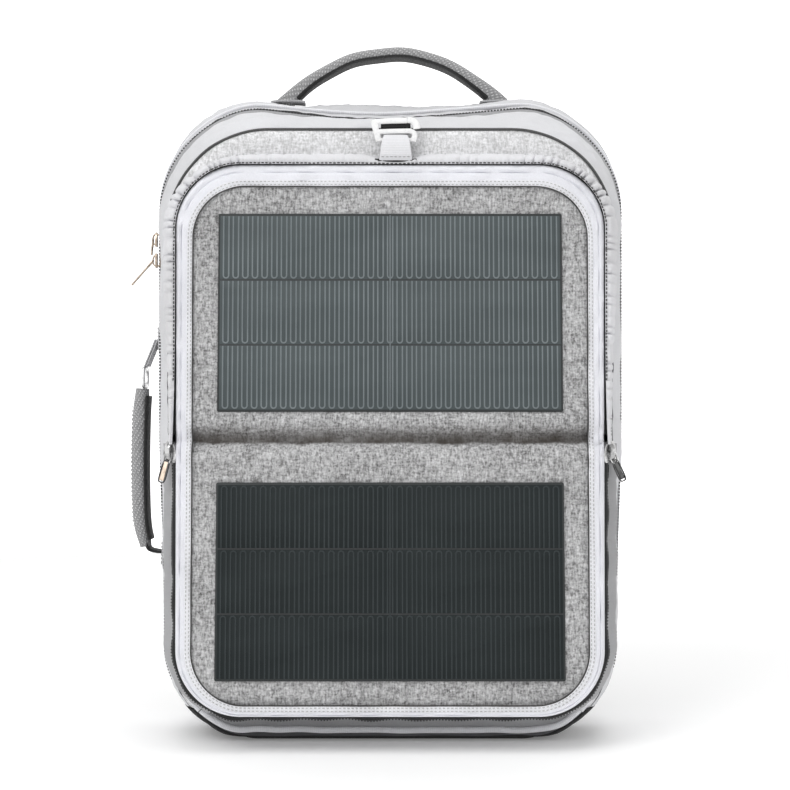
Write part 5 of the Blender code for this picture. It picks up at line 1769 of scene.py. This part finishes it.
def make_controller():
    """A ribbed housing, and the socket on top of it."""
    size = (0.070, 0.016, 0.041)
    parts = [round_box("charge_controller_case", (0.035, -0.0493, 0.1055), size, 0.006, plastic, 0.0016)]
    for k in range(6):
        centre, size = (0.017 + 0.0072 * k, -0.0572, 0.098), (0.0022, 0.0014, 0.018)
        parts.append(round_box(f"charge_controller_rib_{k}", centre, size, 0.0008, rubber, 0.0003))
    settle(join("charge_controller_unit", parts), "front_shell", "black_plastic", "charge_controller")
    centre, size = (0.017, -0.0493, 0.1303), (0.0070, 0.0035, 0.0008, 0.0078)
    socket = ring_plate("usb_socket_shell", centre, (1, 0, 0), (0, 1, 0), *size, steel)
    centre, size = (0.017, -0.0488, 0.1300), (0.0110, 0.0018, 0.0060)
    tongue = round_box("usb_socket_tongue", centre, size, 0.0006, plastic, 0.0002)
    settle(join("usb_socket_unit", [socket, tongue]), "front_shell", "steel_hardware", "usb_socket")


def face_stack(name, outline, stops, look):
    """A plate behind the face from stops of (inset, depth behind it)."""
    rings = [[(x, face_at(z) + deep, z) for x, z in outline.inset(inset).closed()] for inset, deep in stops]
    return skin(name, rings, look)


def make_junction_boxes():
    """One behind each laminate, with a lid."""
    for word, body, low, high in (("lower", "front_shell", 0.186, 0.2165), ("upper", "flap", 0.250, 0.280)):
        stem = f"{word}_junction_box"
        outline = Outline(0.030, 0.030, low, high, 0.003, 0.003)
        stops = ((0, BOX_FLOOR), (0, BOX_FLOOR + 0.0070), (0.0012, 0.0123))
        case = face_stack(f"{stem}_case", outline, stops, plastic)
        outline = Outline(0.024, 0.024, low + 0.006, high - 0.006, 0.002, 0.002)
        lid = face_stack(f"{stem}_lid", outline, ((0, 0.0120), (0, 0.0128), (0.0006, 0.0130)), rubber)
        settle(join(f"{stem}_unit", [case, lid]), body, "black_plastic", stem)


def make_leads():
    """From the upper box to the lower one, and from there to the controller."""
    to_controller = (
        (0.0, face_at(0.186) + LEAD_DEPTH, 0.186), (0.002, face_at(0.175) + 0.0102, 0.175),
        (0.016, -0.0545, 0.152), (0.040, -0.0500, 0.143), (0.050, -0.0493, 0.136), (0.052, -0.0493, 0.1263),
    )
    between_boxes = [(0.0, face_at(z) + LEAD_DEPTH, z) for z in (0.2497, 0.236, 0.2215)]
    for name, body, route in (
        ("controller_lead", "front_shell", to_controller),
        ("upper_lead", "flap", between_boxes),
    ):
        wire = round_cord(f"{name}_wire", smooth_curve(route, 8), 0.0015, rubber, 10)
        settle(wire, body, "lead_rubber", name)


make_back_panel()
make_back_pads()
make_yoke()
make_trolley_band()
make_straps()
make_boards()
make_controller()
make_junction_boxes()
make_leads()


# ---------------------------------------------------------------------------------------------
# The room: a plain pale floor, soft light and the camera, level at the bag's mid-height.

CAMERA_HEIGHT, CAMERA_BACK, LENS = 0.251, 1.282, 78.1
PAPER, ROOM = 1.5, 8.0


def make_studio():
    paper = Look("studio_paper", rough=0.9, specular=0.1)
    place = paper.place()
    fibre = paper.noise(place, 240.0, 3.0, 0.2, 0.8)
    paper.raise_by(fibre, 0.08, 0.0004)
    paper.shader.inputs["Emission Strength"].default_value = 0.14
    paper.shader.inputs["Emission Color"].default_value = (1, 1, 1, 1)
    white = paper.done(paper.mix(fibre, shade(0.955), shade(0.975)))
    turns = np.linspace(0, 2 * math.pi, 97)[:-1]
    circle = np.stack([np.cos(turns), np.sin(turns), 0 * turns], -1)
    floor = make_mesh("studio_floor", circle * PAPER, [tuple(range(len(circle)))], white, smooth=False)
    glow = Look("studio_backdrop", rough=1.0, specular=0.0)
    glow.shader.inputs["Emission Strength"].default_value = 1.02
    glow.put(
        glow.shader.inputs["Emission Color"],
        glow.mix(glow.noise(glow.place(), 0.5), (1.0, 1.0, 1.0), (0.985, 0.985, 0.985)),
    )
    rows = np.array([circle * PAPER, circle * ROOM, circle * ROOM + (0, 0, ROOM * 0.8)])
    wall = skin("studio_backdrop", rows, glow.done((0.9, 0.9, 0.9)), caps=False)
    wall.visible_diffuse = False
    world = bpy.data.worlds.new("studio_air")
    world.use_nodes = True
    air = next(node for node in world.node_tree.nodes if node.type == "BACKGROUND")
    air.inputs["Color"].default_value = (1, 1, 1, 1)
    air.inputs["Strength"].default_value = 0.62
    bpy.context.scene.world = world
    bpy.context.scene.view_settings.view_transform = "Standard"
    for name, place, aim, size, power in (
        ("key_light", (-1.3, -1.8, 2.2), (0, 0, 0.25), 1.3, 24),
        ("fill_light", (1.7, -1.9, 1.5), (0, 0, 0.25), 1.6, 5),
        ("top_light", (0.0, -0.3, 2.4), (0, 0, 0.2), 1.8, 16),
        ("back_light", (0.6, 2.2, 1.8), (0, 0, 0.25), 1.8, 6),
    ):
        lamp = bpy.data.lights.new(name, "AREA")
        lamp.shape, lamp.size, lamp.energy = "SQUARE", size, power
        obj = bpy.data.objects.new(name, lamp)
        obj.location = place
        obj.rotation_euler = (Vector(aim) - Vector(place)).to_track_quat("-Z", "Y").to_euler()
        bpy.context.scene.collection.objects.link(obj)
    lens = bpy.data.cameras.new("camera")
    lens.lens, lens.sensor_width = LENS, 36.0
    camera = bpy.data.objects.new("camera", lens)
    camera.location = (0.0035, -CAMERA_BACK, CAMERA_HEIGHT)
    camera.rotation_euler = (math.pi / 2, 0, 0)
    bpy.context.scene.collection.objects.link(camera)
    bpy.context.scene.camera = camera


make_studio()

bpy.context.view_layer.update()
